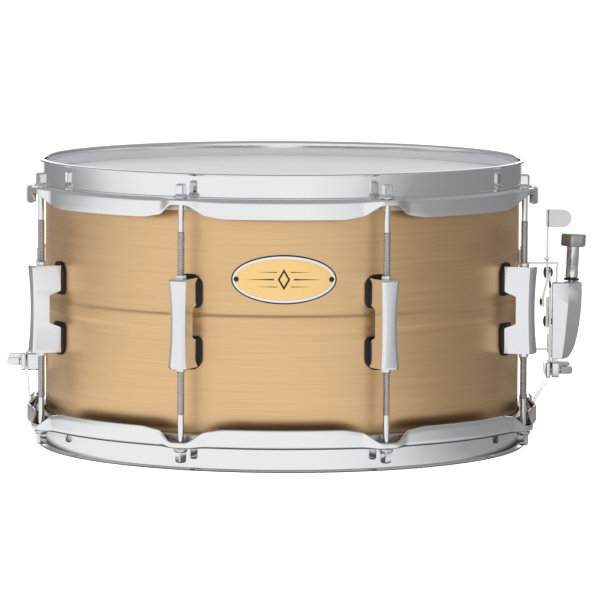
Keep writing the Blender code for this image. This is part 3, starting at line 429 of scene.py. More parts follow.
# bright nickel-chrome over pressed steel: mirror with a faint orange peel and handling haze
def makeChrome(name="polished chrome plate", roughness=None, colour=None):
    made, tree, shader = newMaterial(name)
    shader.inputs["Base Color"].default_value = hexColour(colour or chromeLook["colour"])
    shader.inputs["Metallic"].default_value = 1.0
    where = addNode(tree, "ShaderNodeTexCoord")
    haze = addNoise(tree, where, chromeLook["smudgeMm"], 3.0)
    low = roughness or chromeLook["roughness"]
    rough = addRange(tree, haze, low, low + chromeLook["smudge"], 0.35, 0.75)
    peel = addNoise(tree, where, chromeLook["waveMm"], 1.0)
    feed(tree, shader, {"Roughness": rough,
                        "Normal": addBump(tree, peel, chromeLook["wave"], chromeLook["waveDeep"])})
    return made


brassLook = {"light": "#E8C293", "mid": "#E2BD8E", "deep": "#DBB688", "roughness": 0.34,
             "lines": ((0.45, 2.7), (2.25, 1.5)),  # line height in mm and how fast it varies round the shell
             "anisotropy": 0.7, "depthMm": 0.003, "relief": 0.25, "lacquer": 0.15, "lacquerRoughness": 0.35}


# brass sheet brushed round the shell and lacquered: long soft horizontal lines, upright soft glare
def makeBrass():
    made, tree, shader = newMaterial("satin brushed brass")
    where = addNode(tree, "ShaderNodeTexCoord")
    split = addNode(tree, "ShaderNodeSeparateXYZ", None, {0: (where, "Object")})
    turn = addNode(tree, "ShaderNodeMath", {"operation": "ARCTAN2"},
                   {0: (split, "Y"), 1: (split, "X")})
    around = addNode(tree, "ShaderNodeMath", {"operation": "SINE"}, {0: (turn, 0)})
    other = addNode(tree, "ShaderNodeMath", {"operation": "COSINE"}, {0: (turn, 0)})
    lines = []
    for lineMm, often in brassLook["lines"]:
        high, spread, spreadTwo = [
            addNode(tree, "ShaderNodeMath", {"operation": "MULTIPLY", 1: factor}, {0: source})
            for factor, source in ((1000 / lineMm, (split, "Z")), (often, (around, 0)), (often, (other, 0)))]
        joined = addNode(tree, "ShaderNodeCombineXYZ", None,
                         {0: (spread, 0), 1: (spreadTwo, 0), 2: (high, 0)})
        lines.append(addNode(tree, "ShaderNodeTexNoise", {"Scale": 1.0, "Detail": 3.0, "Roughness": 0.6},
                             {"Vector": (joined, 0)}))
    both = addNode(tree, "ShaderNodeMath", {"operation": "ADD"}, {0: (lines[0], 0), 1: (lines[1], 0)})
    half = addNode(tree, "ShaderNodeMath", {"operation": "MULTIPLY", 1: 0.5}, {0: (both, 0)})
    ramp = addNode(tree, "ShaderNodeValToRGB", None, {0: (half, 0)})
    fillRamp(ramp, [(0.36, hexColour(brassLook["deep"])), (0.5, hexColour(brassLook["mid"])),
                    (0.64, hexColour(brassLook["light"]))])
    rough = addRange(tree, half, brassLook["roughness"] - 0.05, brassLook["roughness"] + 0.06)
    bump = addBump(tree, half, brassLook["relief"], brassLook["depthMm"] * mm)
    along = addNode(tree, "ShaderNodeTangent", {"direction_type": "RADIAL", "axis": "Z"})
    feed(tree, shader, {"Base Color": ramp, "Roughness": rough, "Normal": bump, "Tangent": along})
    shader.inputs["Metallic"].default_value = 1.0
    shader.inputs["Anisotropic"].default_value = brassLook["anisotropy"]
    shader.inputs["Coat Weight"].default_value = brassLook["lacquer"]
    shader.inputs["Coat Roughness"].default_value = brassLook["lacquerRoughness"]
    return made


filmLook = {"coated": "#F0F0F2", "thin": "#EAEAED", "grainMm": 1.2, "grainDeepMm": 0.1, "cloudMm": 70,
            "clear": "#E8ECEF", "clearCloudMm": 25, "hazeSpread": 0.12}


# polyester film sprayed with a rough white coating for brushes
def makeCoatedFilm():
    made, tree, shader = newMaterial("sprayed polyester film")
    where = addNode(tree, "ShaderNodeTexCoord")
    grain = addNoise(tree, where, filmLook["grainMm"], 4.0)
    cloud = addNoise(tree, where, filmLook["cloudMm"], 2.0)
    ramp = addNode(tree, "ShaderNodeValToRGB", None, {0: (cloud, 0)})
    fillRamp(ramp, [(0.3, hexColour(filmLook["thin"])), (0.7, hexColour(filmLook["coated"]))])
    bump = addBump(tree, grain, 0.3, filmLook["grainDeepMm"] * mm)
    feed(tree, shader, {"Base Color": ramp, "Roughness": addRange(tree, grain, 0.42, 0.62), "Normal": bump})
    shader.inputs["IOR"].default_value = 1.55
    return made


# thin clear polyester: hardly coloured, slightly hazy, glossy
def makeClearFilm(name, haze, alpha):
    made, tree, shader = newMaterial(name)
    where = addNode(tree, "ShaderNodeTexCoord")
    cloud = addNoise(tree, where, filmLook["clearCloudMm"], 3.0)
    feed(tree, shader, {"Roughness": addRange(tree, cloud, haze, haze + filmLook["hazeSpread"])})
    shader.inputs["Base Color"].default_value = hexColour(filmLook["clear"])
    shader.inputs["IOR"].default_value = 1.57
    shader.inputs["Alpha"].default_value = alpha
    return made


# a moulded or extruded surface: fine grain in colour, gloss and relief
def makePlain(name, colour, roughness, metallic, grainMm, depthMm, vary=0.08):
    made, tree, shader = newMaterial(name)
    where = addNode(tree, "ShaderNodeTexCoord")
    grain = addNoise(tree, where, grainMm, 4.0)
    base = hexColour(colour)
    dark = [c * (1 - vary * 2) for c in base[:3]] + [1]
    light = [min(1, c * (1 + vary)) for c in base[:3]] + [1]
    ramp = addNode(tree, "ShaderNodeValToRGB", None, {0: (grain, 0)})
    fillRamp(ramp, [(0.3, dark), (0.7, light)])
    rough = addRange(tree, grain, roughness - 0.05, roughness + 0.08)
    bump = addBump(tree, grain, 0.3, depthMm * mm)
    feed(tree, shader, {"Base Color": ramp, "Roughness": rough, "Normal": bump})
    shader.inputs["Metallic"].default_value = metallic
    return made


chrome = makeChrome()
castChrome = makeChrome("polished die-cast chrome", 0.12, "#E6E6E9")
leverChrome = makeChrome("chromed strip steel", 0.16, "#D2CFCD")
darkChrome = makeChrome("smoked polished cap", 0.10, "#6E7078")
brass = makeBrass()
coatedFilm = makeCoatedFilm()
clearHead = makeClearFilm("clear resonant film", 0.12, 0.45)
clearStrap = makeClearFilm("clear strap film", 0.15, 0.34)
hoopAluminium = makePlain("extruded aluminium", "#C9CACC", 0.35, 1.0, 2.0, 0.01)
rubber = makePlain("moulded black rubber", "#0E0E10", 0.55, 0.0, 0.8, 0.03)
nylon = makePlain("moulded black nylon", "#16161A", 0.42, 0.0, 0.8, 0.02)
rivetSteel = makePlain("bare rivet steel", "#8C857C", 0.28, 1.0, 1.0, 0.01)
threadSteel = makePlain("plated rolled thread", "#BDBAB6", 0.30, 1.0, 1.5, 0.01)
blasted = makePlain("bead-blasted zinc", "#C6C6C8", 0.42, 1.0, 0.9, 0.02)
blackEnamel = makePlain("black stoved enamel", "#1B1716", 0.30, 0.0, 1.2, 0.01)
gilt = makePlain("gilt brass plate", "#FFD692", 0.36, 0.85, 1.0, 0.006, 0.03)
wireSteel = makePlain("bright snare wire", "#DADBDD", 0.26, 1.0, 1.5, 0.01)
print("materials are made")


shellShape = {"radius": 175.6, "wall": 1.2, "lean": 2.4, "edge": 9.0, "beadWidth": 12.5, "beadProud": 0.95,
              "beadCorner": 2.2, "beadSide": 2.4, "beadCrown": 1.12, "beadRun": 3, "segments": 288}


def makeShell():
    low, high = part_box("shell")
    radius, wall, lean = (shellShape[k] * mm for k in ("radius", "wall", "lean"))
    edge = shellShape["edge"] * mm
    half, proud = shellShape["beadWidth"] / 2 * mm, shellShape["beadProud"] * mm
    side, run, corner = (shellShape[k] * mm for k in ("beadSide", "beadRun", "beadCorner"))
    bead = rounded([(0, half + run), (0, half), (proud, half - side), (proud * shellShape["beadCrown"], 0),
                    (proud, side - half), (0, -half), (0, -half - run)],
                   [0, corner, corner, 4 * mm, corner, corner, 0], 4)
    outline = [(radius - lean, high.z), (radius - 0.7 * lean, high.z - 0.3 * edge), (radius, high.z - edge)]
    outline += [(radius + p.x, beadHeight + p.y) for p in bead]
    outline += [(radius, low.z + edge), (radius - 0.7 * lean, low.z + 0.3 * edge), (radius - lean, low.z)]
    inside = [(r - wall, z) for r, z in reversed(outline)]
    bm = bmesh.new()
    addTurned(bm, outline + inside, shellShape["segments"])
    return newPiece("brassShell", bm, brass, "drum", 25, ["shell"])


makeShell()
print("shell is made")


headShape = {"film": 0.35, "edgeRound": 2.2, "collar": 13.0, "segments": 256, "fleshGap": 0.3,
             "fleshRound": 0.9}


def makeHead(end, name, node, surface):
    film, edge, low = (headShape[k] * mm for k in ("film", "edgeRound", "collar"))
    outer = collarRadius
    flat = outer - edge
    arc = [(flat + edge * sin(a), -edge * (1 - cos(a))) for a in [pi / 2 * k / 6 for k in range(7)]]
    outside = [(0, 0), (0.5 * flat, 0)] + arc + [(outer, -low)]
    inside = [(r - film if z < -1e-6 or r > flat - 1e-6 else r, z - film if r < outer - 1e-6 else z)
              for r, z in reversed(arc)]
    inside = [(outer - film, -low)] + inside + [(0.5 * flat, -film), (0, -film)]
    bm = bmesh.new()
    addTurned(bm, [(max(r, 0), fromEnd(z, end)) for r, z in outside + inside], headShape["segments"])
    newPiece(name, bm, surface, "drum", 30, [node])


def makeFleshHoop(name, node):
    low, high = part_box(node)
    outer = high.y
    inner = collarRadius + headShape["fleshGap"] * mm
    outline = rounded([(inner, low.z), (outer, low.z), (outer, high.z), (inner, high.z)],
                      headShape["fleshRound"] * mm, 4, True)
    bm = bmesh.new()
    addTurned(bm, [(p.x, p.y) for p in outline], 224)
    newPiece(name, bm, hoopAluminium, "drum", 40, [node])


makeHead(1, "batterFilm", "batter_head", coatedFilm)
makeHead(-1, "resonantFilm", "snare_head", clearHead)
makeFleshHoop("batterFleshHoop", "batter_flesh_hoop")
makeFleshHoop("resonantFleshHoop", "snare_flesh_hoop")
print("heads are made")


hoopShape = {"sheet": 1.8, "rise": 11.0, "wall": 177.1, "rimReach": 3.0, "ledge": 18.1,
             "skirt": 189.6, "skirtEnd": 30.8, "earOut": 195.4, "earEnd": 20.9, "earHalf": 4.4,
             "earFoot": 18.5, "sweep": 34.0,
             "sweepHalf": 12.0, "sweepShare": 0.26, "gateHalf": 22.5,
             "gateFoot": 29.0, "gateMid": 186.8, "gateTip": 183.4, "gateEnd": 35.2, "rodCircle": 190.5,
             "holeRadius": 2.9, "slotHalf": 17.0, "slotFrom": 5.5, "slotTo": 13.5, "slotRound": 2.5,
             "fine": 0.75, "coarse": 2.2}


# middle of the sheet as (radius, distance below the rim) in mm, where cut says how far the skirt is trimmed
def hoopLine(ear, cut, gate):
    h = hoopShape
    half = h["sheet"] / 2
    plain = [(h["skirt"], z) for z in (h["ledge"], 0.5 * (h["ledge"] + h["skirtEnd"]), h["skirtEnd"])]
    gated = [(h["skirt"] - 0.6, h["ledge"]), (h["gateMid"], 28.1), (h["gateTip"], h["gateEnd"])]
    eared = [(h["earOut"], h["ledge"] + 0.2), (h["earOut"] + 0.15, h["ledge"] + 1.6),
             (h["earOut"] + 0.2, h["earEnd"])]
    formed = []
    for a, b, c in zip(plain, gated, eared):
        skirt = Vector(a).lerp(Vector(b), gate)
        formed.append(Vector((skirt.x + (c[0] - skirt.x) * ear, skirt.y + (c[1] - skirt.y) * cut)))
    line = [Vector(p) for p in
            ((h["wall"] + h["rimReach"], half), (h["wall"], half), (h["wall"], h["ledge"]))]
    return rounded(line + formed, [0, 1.6, 1.6, 3.2, 5.0, 0], 6)


def ease(t):
    t = min(1, max(0, t))
    return t * t * (3 - 2 * t)


# angles round the hoop, close together where the skirt changes
def hoopAngles():
    h = hoopShape
    angles = []
    for index in range(lugCount):
        centre = rodAngle(index)
        angles += [centre + x * h["fine"] / h["skirt"] for x in range(-24, 25)]
        middle = centre + pi / lugCount
        angles += [middle + x * h["coarse"] / h["skirt"] for x in range(-25, 26)]
    return sorted(a % tau for a in angles)


def shares(angle, gates):
    h = hoopShape
    sector = tau / lugCount
    toRod = (angle % sector - sector / 2) * h["skirt"]
    ear = ease((h["earFoot"] - abs(toRod)) / (h["earFoot"] - h["earHalf"]))
    sweep = ease((h["sweep"] - abs(toRod)) / (h["sweep"] - h["sweepHalf"]))
    cut = (1 - h["sweepShare"]) * ear + h["sweepShare"] * sweep
    toGate = ((angle + pi / 2) % pi - pi / 2) * h["skirt"]
    gate = ease((h["gateFoot"] - abs(toGate)) / (h["gateFoot"] - h["gateHalf"])) if gates else 0
    return ear, cut, gate


def makeHoop(end, name, node, gates):
    h = hoopShape
    rings = []
    for angle in hoopAngles():
        outline = thickened(hoopLine(*shares(angle, gates)), h["sheet"])
        rings.append([Vector((p.x * mm * cos(angle), p.x * mm * sin(angle),
                              fromEnd((h["rise"] - p.y) * mm, end))) for p in outline])
    bm = bmesh.new()
    for index in range(lugCount):
        angle = rodAngle(index)
        middle = fromEnd((h["rise"] - h["ledge"]) * mm, end)
        hole = [(h["holeRadius"] * mm, -3 * mm), (h["holeRadius"] * mm, 3 * mm), (0, 3 * mm), (0, -3 * mm)]
        centre = Vector((h["rodCircle"] * mm * cos(angle), h["rodCircle"] * mm * sin(angle), middle))
        addTurned(bm, hole, 24, centre)
    mesh = booleaned(ringMesh(rings, True), meshOf(bm))
    if gates:
        bm = bmesh.new()
        rimLow = fromEnd(h["rise"] * mm, end)
        half = h["slotHalf"] * mm
        low, high = rimLow + h["slotFrom"] * mm, rimLow + h["slotTo"] * mm
        outline = rounded([(-half, low), (half, low), (half, high), (-half, high)],
                          h["slotRound"] * mm, 5, True)
        for side in (-1, 1):
            x = side * h["wall"] * mm
            addRings(bm, [[Vector((x - 4 * mm, p.x, p.y)) for p in outline],
                          [Vector((x + 4 * mm, p.x, p.y)) for p in outline]])
        mesh = booleaned(mesh, meshOf(bm))
    wrapPiece(name, mesh, chrome, "drum", 40, [node])


makeHoop(1, "batterHoop", "batter_hoop", False)
makeHoop(-1, "snareHoop", "snare_hoop", True)
print("hoops are made")


lugShape = {"height": 63.6, "face": 199.2, "hollow": 1.5, "halfFront": 6.9, "halfFoot": 7.6, "waist": 1.4,
            "chamfer": 2.3, "chamferDeep": 1.7, "foot": 18.2, "notch": 8.9, "back": 177.9, "nutRadius": 3.9,
            "nutHeight": 2.9, "bore": 3.05, "boreDeep": 17, "gasketMargin": 2.7, "gasket": 1.7}


def placeAt(angle):
    return Matrix.Rotation(angle, 4, "Z") @ Matrix.Translation((0, 0, beadHeight))


# how far out the back of the lug stands at this height, mm: feet at the ends, an arch between
def lugBack(z):
    s = lugShape
    half = s["height"] / 2
    foot = half - s["foot"]
    t = ease((foot + 0.4 - abs(z)) / 4.4)
    return s["back"] + s["notch"] * t


def lugMesh():
    s = lugShape
    half = s["height"] / 2
    foot = half - s["foot"]
    heights = [-half, -half + 0.35, -half + 1.3, -half + 3.5]
    heights += [-half + 3.5 + k * (half - 3.5 - foot - 0.8) / 4 for k in range(1, 4)]
    heights += [-foot - 0.8 + k * 5.4 / 14 for k in range(15)]
    heights += [-foot + 4.6 + k * (foot - 4.6) / 4 for k in range(1, 4)]
    heights = heights + [0] + [-z for z in reversed(heights)]
    rings = []
    for z in heights:
        share = z / half
        inset = max(0, 1.3 - (half - abs(z))) * 0.55
        face = s["face"] - s["hollow"] * (1 - share * share) - inset
        back = lugBack(z)
        narrows = (s["halfFront"] - s["halfFoot"]) / (s["face"] - s["back"])
        across = lambda x: s["halfFoot"] + narrows * (x - s["back"])
        thin = s["waist"] * (1 - share * share)
        side = [(back, across(back) - 0.35 * inset), (back + 0.6, across(back)),
                (0.5 * (back + face), across(0.5 * (back + face)) - 0.4 * thin),
                (face - s["chamferDeep"], across(face) - thin - inset),
                (face - 0.5 * s["chamferDeep"], across(face) - thin - 0.45 * s["chamfer"] - inset),
                (face, across(face) - thin - s["chamfer"] - inset),
                (face + 0.22, 0.4 * (across(face) - thin - s["chamfer"]))]
        rings.append([Vector((x, y, z)) * mm for x, y in side + [(x, -y) for x, y in reversed(side)]])
    bm = bmesh.new()
    rodX = hoopShape["rodCircle"] * mm
    bore, deep = s["bore"] * mm, s["boreDeep"] * mm
    for side in (-1, 1):
        hole = [(bore, -deep), (bore, 1 * mm), (0, 1 * mm), (0, -deep)]
        flip = Matrix.Rotation(pi if side < 0 else 0, 4, "X")
        addTurned(bm, hole, 24, (rodX, 0, side * half * mm), flip)
    return booleaned(ringMesh(rings), meshOf(bm))


# rubber pads under the feet, wider than the lug, each with its inner corners cut to the arch
def gasketMesh():
    s = lugShape
    half = s["height"] / 2
    foot = half - s["foot"]
    wide = s["halfFoot"] + s["gasketMargin"]
    bm = bmesh.new()
    for side in (-1, 1):
        right = [(wide - 5, half + 2.4), (wide, half - 2.6), (wide, foot - 0.5), (wide - 2.2, foot - 3.4)]
        outline = [(5 - wide, half + 2.4)] + right + [(-y, z) for y, z in reversed(right[1:])]
        outline = rounded([(y, side * z) for y, z in outline], 3.4, 5, True)
        rings = []
        inner = shellShape["radius"] + 0.3
        for out, shrink in ((inner, 0.0), (inner + 0.7 * s["gasket"], 0.0), (inner + s["gasket"], 0.5)):
            centre = side * (half + foot) / 2
            rings.append([Vector((out, p.x * (1 - shrink / wide),
                                  centre + (p.y - centre) * (1 - shrink / 12))) * mm for p in outline])
        addRings(bm, rings)
    return meshOf(bm)


# the octagonal collar of a swivel nut, with a bore
def nutMesh():
    bore, radius, high = (lugShape[k] for k in ("bore", "nutRadius", "nutHeight"))
    outline = [(bore, 0), (radius - 0.1, 0), (radius, 0.4), (radius, high - 0.6), (radius - 0.6, high),
               (bore, high)]
    return turnedMesh(outline, 8)


rodShape = {"thread": 2.6, "shank": 2.2, "pitch": 1.06, "depth": 0.34, "shankLength": 24.0, "key": 3.05,
            "keyHeight": 8.0, "flange": 5.1, "flangeHeight": 1.25, "washer": 5.4, "washerHeight": 0.9}


# shank from z=0 down, then a rolled thread to the tip
def threadedRod(length):
    r = rodShape
    around = 14
    rows = [(0.0, r["shank"], False), (-r["shankLength"], r["shank"], False),
            (-r["shankLength"] - 0.4, r["thread"] - r["depth"], False)]
    steps = int((length - r["shankLength"] - 1.5) / (r["pitch"] / 4))
    for k in range(steps):
        rows.append((-r["shankLength"] - 0.8 - k * r["pitch"] / 4, r["thread"], True))
    rows.append((-length, r["thread"] - 0.8, False))
    rings = []
    for z, radius, threaded in rows:
        ring = []
        for k in range(around):
            angle = tau * k / around
            reach = radius
            if threaded:
                phase = (z / r["pitch"] + k / around) % 1
                reach = radius - r["depth"] * abs(2 * phase - 1)
            ring.append(Vector((reach * cos(angle), reach * sin(angle), z)) * mm)
        rings.append(ring)
    return ringMesh(rings)


# square key head with rounded shoulders, a pressed flange below it, on z=0
def keyHeadMesh(r):
    flange, low, key = r["flange"], r["flangeHeight"], r["key"]
    top = low + r["keyHeight"]
    # height, half width and how square the ring is
    stations = [(0.0, flange, 0), (0.25, flange + 0.15, 0), (0.75, flange, 0), (low, flange - 0.9, 0),
                (low + 0.25, key + 0.7, 0.5), (low + 0.7, key, 1), (top - 1.5, key, 1),
                (top - 0.5, key - 0.35, 0.92), (top, key - 1.1, 0.7)]
    around = 32
    rings = []
    for z, radius, square in stations:
        ring = []
        for k in range(around):
            angle = tau * (k + 0.5) / around
            corner = radius / max(abs(cos(angle)), abs(sin(angle)))
            corner = min(corner, radius * 1.34)
            reach = radius + (corner - radius) * square
            ring.append(Vector((reach * cos(angle), reach * sin(angle), z)) * mm)
        rings.append(ring)
    return ringMesh(rings)


def washerMesh():
    outer, high = rodShape["washer"], rodShape["washerHeight"]
    return turnedMesh(rounded([(2.5, 0.05), (outer, 0.05), (outer, high), (2.5, high)], 0.3, 3, True), 40)


def makeLugs():
    lug, gasket, nut = lugMesh(), gasketMesh(), nutMesh()
    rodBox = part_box("batter_rod_1")
    seat = (hoopShape["rise"] - hoopShape["ledge"] + hoopShape["sheet"] / 2) * mm + 0.2 * mm
    length = (seat - rodBox[0].z) / mm
    rod = threadedRod(length)
    head, washer = keyHeadMesh(rodShape), washerMesh()
    half = lugShape["height"] / 2 * mm
    rodX = hoopShape["rodCircle"] * mm
    for index in range(lugCount):
        n = index + 1
        angle = rodAngle(index)
        at = placeAt(angle)
        piece = wrapPiece(f"lug{n}", lug.copy(), castChrome, "drum", 24, [f"lug_{n}"],
                          place=at)
        level = piece.modifiers.new("level", "WEIGHTED_NORMAL")
        level.keep_sharp = True
        wrapPiece(f"lugGasket{n}", gasket.copy(), rubber, "drum", 40, [f"lug_gasket_{n}"],
                  place=at)
        for end, side in (("Upper", 1), ("Lower", -1)):
            flip = Matrix.Rotation(pi if side < 0 else 0, 4, "X")
            spot = at @ Matrix.Translation((rodX, 0, side * half)) @ flip
            wrapPiece(f"lugNut{end}{n}", nut.copy(), castChrome, "drum", 20, place=spot)
            radial = Matrix.Rotation(angle, 4, "Z") @ Matrix.Translation((rodX, 0, 0))
            if side > 0:
                rodBody, rodName = f"batter_rod_{n}", f"batterRod{n}"
                spot = radial @ Matrix.Translation((0, 0, seat))
            else:
                rodBody, rodName = f"snare_rod_{n}", f"snareRod{n}"
                spot = radial @ Matrix.Translation((0, 0, 2 * beadHeight - seat)) @ flip
            # no two keys stand quite alike
            degrees = 8 * (n % 3) - 6 if side > 0 else (37 * n - 11) % 90
            spin = Matrix.Rotation(radians(degrees), 4, "Z")
            piece = wrapPiece(rodName, rod.copy(), threadSteel, rodBody, 50, [rodBody],
                              place=spot)
            piece.data.materials.append(chrome)
            for face in piece.data.polygons:
                face.material_index = int(face.center.z > -rodShape["shankLength"] * mm)  # polished shank
            lift = Matrix.Translation((0, 0, (rodShape["washerHeight"] + 0.1) * mm))
            wrapPiece(rodName + "Key", head.copy(), chrome, rodBody, 40,
                      place=spot @ lift @ spin)
            wrapPiece(rodName + "Washer", washer.copy(), chrome, rodBody, 40, place=spot)


makeLugs()
print("lugs and rods are made")


jointSpot = {j["name"]: Vector(j["pos_m"]) for j in frame["record"]["behaviour"]["joints"] if "pos_m" in j}
alongX = Matrix.Rotation(pi / 2, 4, "Y")


# turns Z to this way
def aimedAt(way):
    return Vector(way).to_track_quat("Z", "Y").to_matrix().to_4x4()


# a carried-over solid: real finish and rounded edges
def soften(node, surface, width):
    piece = frame["nodes"][node]
    piece.data.materials.clear()
    piece.data.materials.append(surface)
    edge = piece.modifiers.new("edges", "BEVEL")
    edge.width = width * mm
    edge.segments = 3
    edge.limit_method = "ANGLE"
    edge.angle_limit = radians(30)


housingShape = {"back": 200.4, "half": 12.9, "frontHalf": 7.4, "jawHalf": 19.2, "jawHeight": 11.6,
                "jawThick": 5.0, "edge": 1.9,
                "profile": [(0.0, 221.9, 212.0), (0.9, 222.6, 212.0), (8, 222.7, 212.2), (16, 222.5, 212.2),
                            (24, 221.9, 211.6), (32, 220.9, 210.9), (40, 219.6, 210.2), (47, 217.9, 209.5),
                            (52, 215.9, 208.9), (55.5, 213.7, 208.4), (57.3, 211.6, 208.0)]}


# die-cast slide: flat sides, one long chamfer each side of a narrow front that sweeps in at the foot
def makeHousing():
    h = housingShape
    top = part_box("strainer_housing")[1].z / mm
    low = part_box("strainer_housing")[0].z / mm
    bm = bmesh.new()
    rings = []
    for down, front, side in h["profile"]:
        half = h["half"] - (0.5 if down == 0 else 0)
        ring = [(h["back"], half), (side, half), (front, h["frontHalf"]), (front, -h["frontHalf"]),
                (side, -half), (h["back"], -half)]
        rings.append([Vector((x, y, top - down)) * mm for x, y in ring])
    addRings(bm, rings)
    half, jawTop = h["jawHalf"], low + h["jawHeight"]
    jaw = rounded([(-half, low), (half, low), (half, jawTop), (-half, jawTop)], 1.6, 4, True)
    back, front = h["back"], h["back"] + h["jawThick"]
    addRings(bm, [[Vector((x, p.x, p.y)) * mm for p in jaw] for x in (back, front)])
    half = h["half"] - 1
    neck = [(-half, low + 10), (half, low + 10), (half, low + 15), (-half, low + 15)]
    addRings(bm, [[Vector((x, y, z)) * mm for y, z in neck] for x in (back + 0.5, front - 0.6)])
    newPiece("housing", bm, castChrome, "strainer_slide", stands=["strainer_housing"],
             bevel=h["edge"] * mm)


knobShape = {"stem": 4.75, "stemLow": 2.7, "stemTop": 26.4, "screw": 2.4, "screwLow": -29.8, "flat": 8.75,
             "corner": 9.6, "low": 26.0, "high": 35.2, "cap": 7.7, "turn": 12}


def hexRing(z, share):
    k = knobShape
    ring = []
    for step in range(72):
        angle = tau * step / 72
        face = (angle + radians(k["turn"])) % (tau / 6) - tau / 12
        reach = min(k["flat"] / cos(face), k["corner"]) * share
        ring.append(Vector((reach * cos(angle), reach * sin(angle), z)) * mm)
    return ring


# stem with a cut groove, six-sided blasted head and a polished dome let into its top
def makeKnob():
    k = knobShape
    axis = next(j["axis"] for j in frame["record"]["behaviour"]["joints"] if j["name"] == "knob_turn")
    place = Matrix.Translation(jointSpot["knob_turn"]) @ aimedAt(axis)
    stem, low, top = k["stem"], k["stemLow"], k["stemTop"]
    outline = [(0, k["screwLow"]), (k["screw"], k["screwLow"] + 0.5), (k["screw"], low), (stem - 0.4, low),
               (stem, low + 0.4), (stem, low + 8), (stem - 0.25, low + 8.3), (stem - 0.25, low + 9),
               (stem, low + 9.3), (stem, top), (0, top)]
    wrapPiece("knobStem", turnedMesh(outline, 48), chrome, "tension_knob", 40,
              ["tension_knob"], place=place)
    low, high = k["low"], k["high"]
    rings = [hexRing(z, share) for z, share in (
        (low, 0.9), (low + 0.25, 0.965), (low + 0.8, 1.0),
        (high - 1.0, 1.0), (high - 0.4, 0.97), (high - 0.1, 0.91))]
    wrapPiece("knobHead", ringMesh(rings), blasted, "tension_knob", 50, place=place)
    dome = [(k["cap"] * cos(a), high - 0.25 + 0.62 * sin(a)) for a in [pi / 2 * n / 8 for n in range(8)]]
    cap = turnedMesh([(0, high - 1)] + dome + [(0, high + 0.37)], 48)
    wrapPiece("knobCap", cap, darkChrome, "tension_knob", 60, place=place)


# domed rivet along X that fills its solid's length
def makeRivet(name, node, body, head, tail):
    low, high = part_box(node)
    radius = (high.z - low.z) / 2
    pin = 0.5 * radius
    centre = Vector((0, (low.y + high.y) / 2, (low.z + high.z) / 2))
    start, end = low.x, high.x
    dome = [(radius * sin(a), start + head * mm * (1 - cos(a))) for a in [pi / 2 * n / 8 for n in range(9)]]
    outline = dome + [(radius, start + head * mm), (pin, start + head * mm)]
    if tail:
        back = [(0.8 * radius * sin(a), end - tail * mm * (1 - cos(a)))
                for a in [pi / 2 * n / 6 for n in range(7)]]
        outline += [(pin, end - tail * mm)] + back[::-1]
    else:
        outline += [(pin, end), (0, end)]
    bm = bmesh.new()
    addTurned(bm, outline, 36, centre, alongX)
    newPiece(name, bm, rivetSteel, body, 50, [node])


clampKey = {"key": 2.75, "flange": 3.4, "flangeHeight": 1.2, "keyHeight": 8.8}


# square key screw through a clamp plate, its seat at the joint's point
def makeClampScrew(name, body, joint, out, length):
    turn = alongX if out > 0 else Matrix.Rotation(-pi / 2, 4, "Y")
    place = Matrix.Translation(jointSpot[joint]) @ turn @ Matrix.Rotation(radians(9), 4, "Z")
    wrapPiece(name, keyHeadMesh(clampKey), chrome, body, 40, [body], place=place)
    shank = turnedMesh([(0, -length), (1.5, -length), (1.9, 0.6 - length), (1.9, 0.2), (0, 0.2)], 28)
    wrapPiece(name + "Shank", shank, threadSteel, body, 40, place=place)


# pan-head mounting screw with a cross recess, looking along way from the shell
def panHead(name, spot, way):
    bm = bmesh.new()
    dome = [(3.1 * mm * cos(a), (0.5 + 1.2 * sin(a)) * mm) for a in [pi / 2 * n / 6 for n in range(7)]]
    addTurned(bm, [(0, 0), (3.1 * mm, 0)] + dome[:-1] + [(0, 1.7 * mm)], 32)
    mesh = meshOf(bm)
    for turn in (0, pi / 2):
        bm = bmesh.new()
        bar = [Vector((x, y, 0)) for x, y in ((-1.6, -0.3), (1.6, -0.3), (1.6, 0.3), (-1.6, 0.3))]
        spin = Matrix.Rotation(turn + 0.4, 4, "Z")
        addRings(bm, [[spin @ (p + Vector((0, 0, z))) * mm for p in bar] for z in (0.8, 2.5)])
        mesh = booleaned(mesh, meshOf(bm))
    wrapPiece(name, mesh, chrome, "drum", 35,
              place=Matrix.Translation(spot) @ aimedAt(way))


leverShape = {"foldRadius": 1.5, "tabHeight": 13.4, "foldIn": 3.2}


# rolled fold where the thumb tab turns out of the lever's strip
def makeLeverFold():
    f = leverShape
    low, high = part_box("strainer_lever")
    top = high.z / mm
    foot = top - f["tabHeight"]
    r = f["foldRadius"]
    outline = [(0, foot), (0.7 * r, foot), (r, foot + 0.35 * r), (r, top - 0.35 * r), (0.7 * r, top),
               (0, top)]
    bm = bmesh.new()
    across = (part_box("lever_pivot_pin")[0].x / mm + f["foldIn"]) * mm
    centre = Vector((across, low.y + 0.95 * r * mm, 0))
    addTurned(bm, [(x * mm, z * mm) for x, z in outline], 24, centre)
    newPiece("leverTabFold", bm, rivetSteel, "strainer_lever", 50)


strapShape = {"film": 0.34, "bend": 3.0}


# film strap: a bent sheet as wide as its solid
def strapPiece(name, line, node, body):
    low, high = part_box(node)
    outline = thickened(rounded(line, strapShape["bend"], 6), strapShape["film"])
    bm = bmesh.new()
    addRings(bm, [[Vector((p.x, 0, p.y)) * mm + Vector((0, y, 0)) for p in outline] for y in (low.y, high.y)])
    return newPiece(name, bm, clearStrap, body, 30, [node])


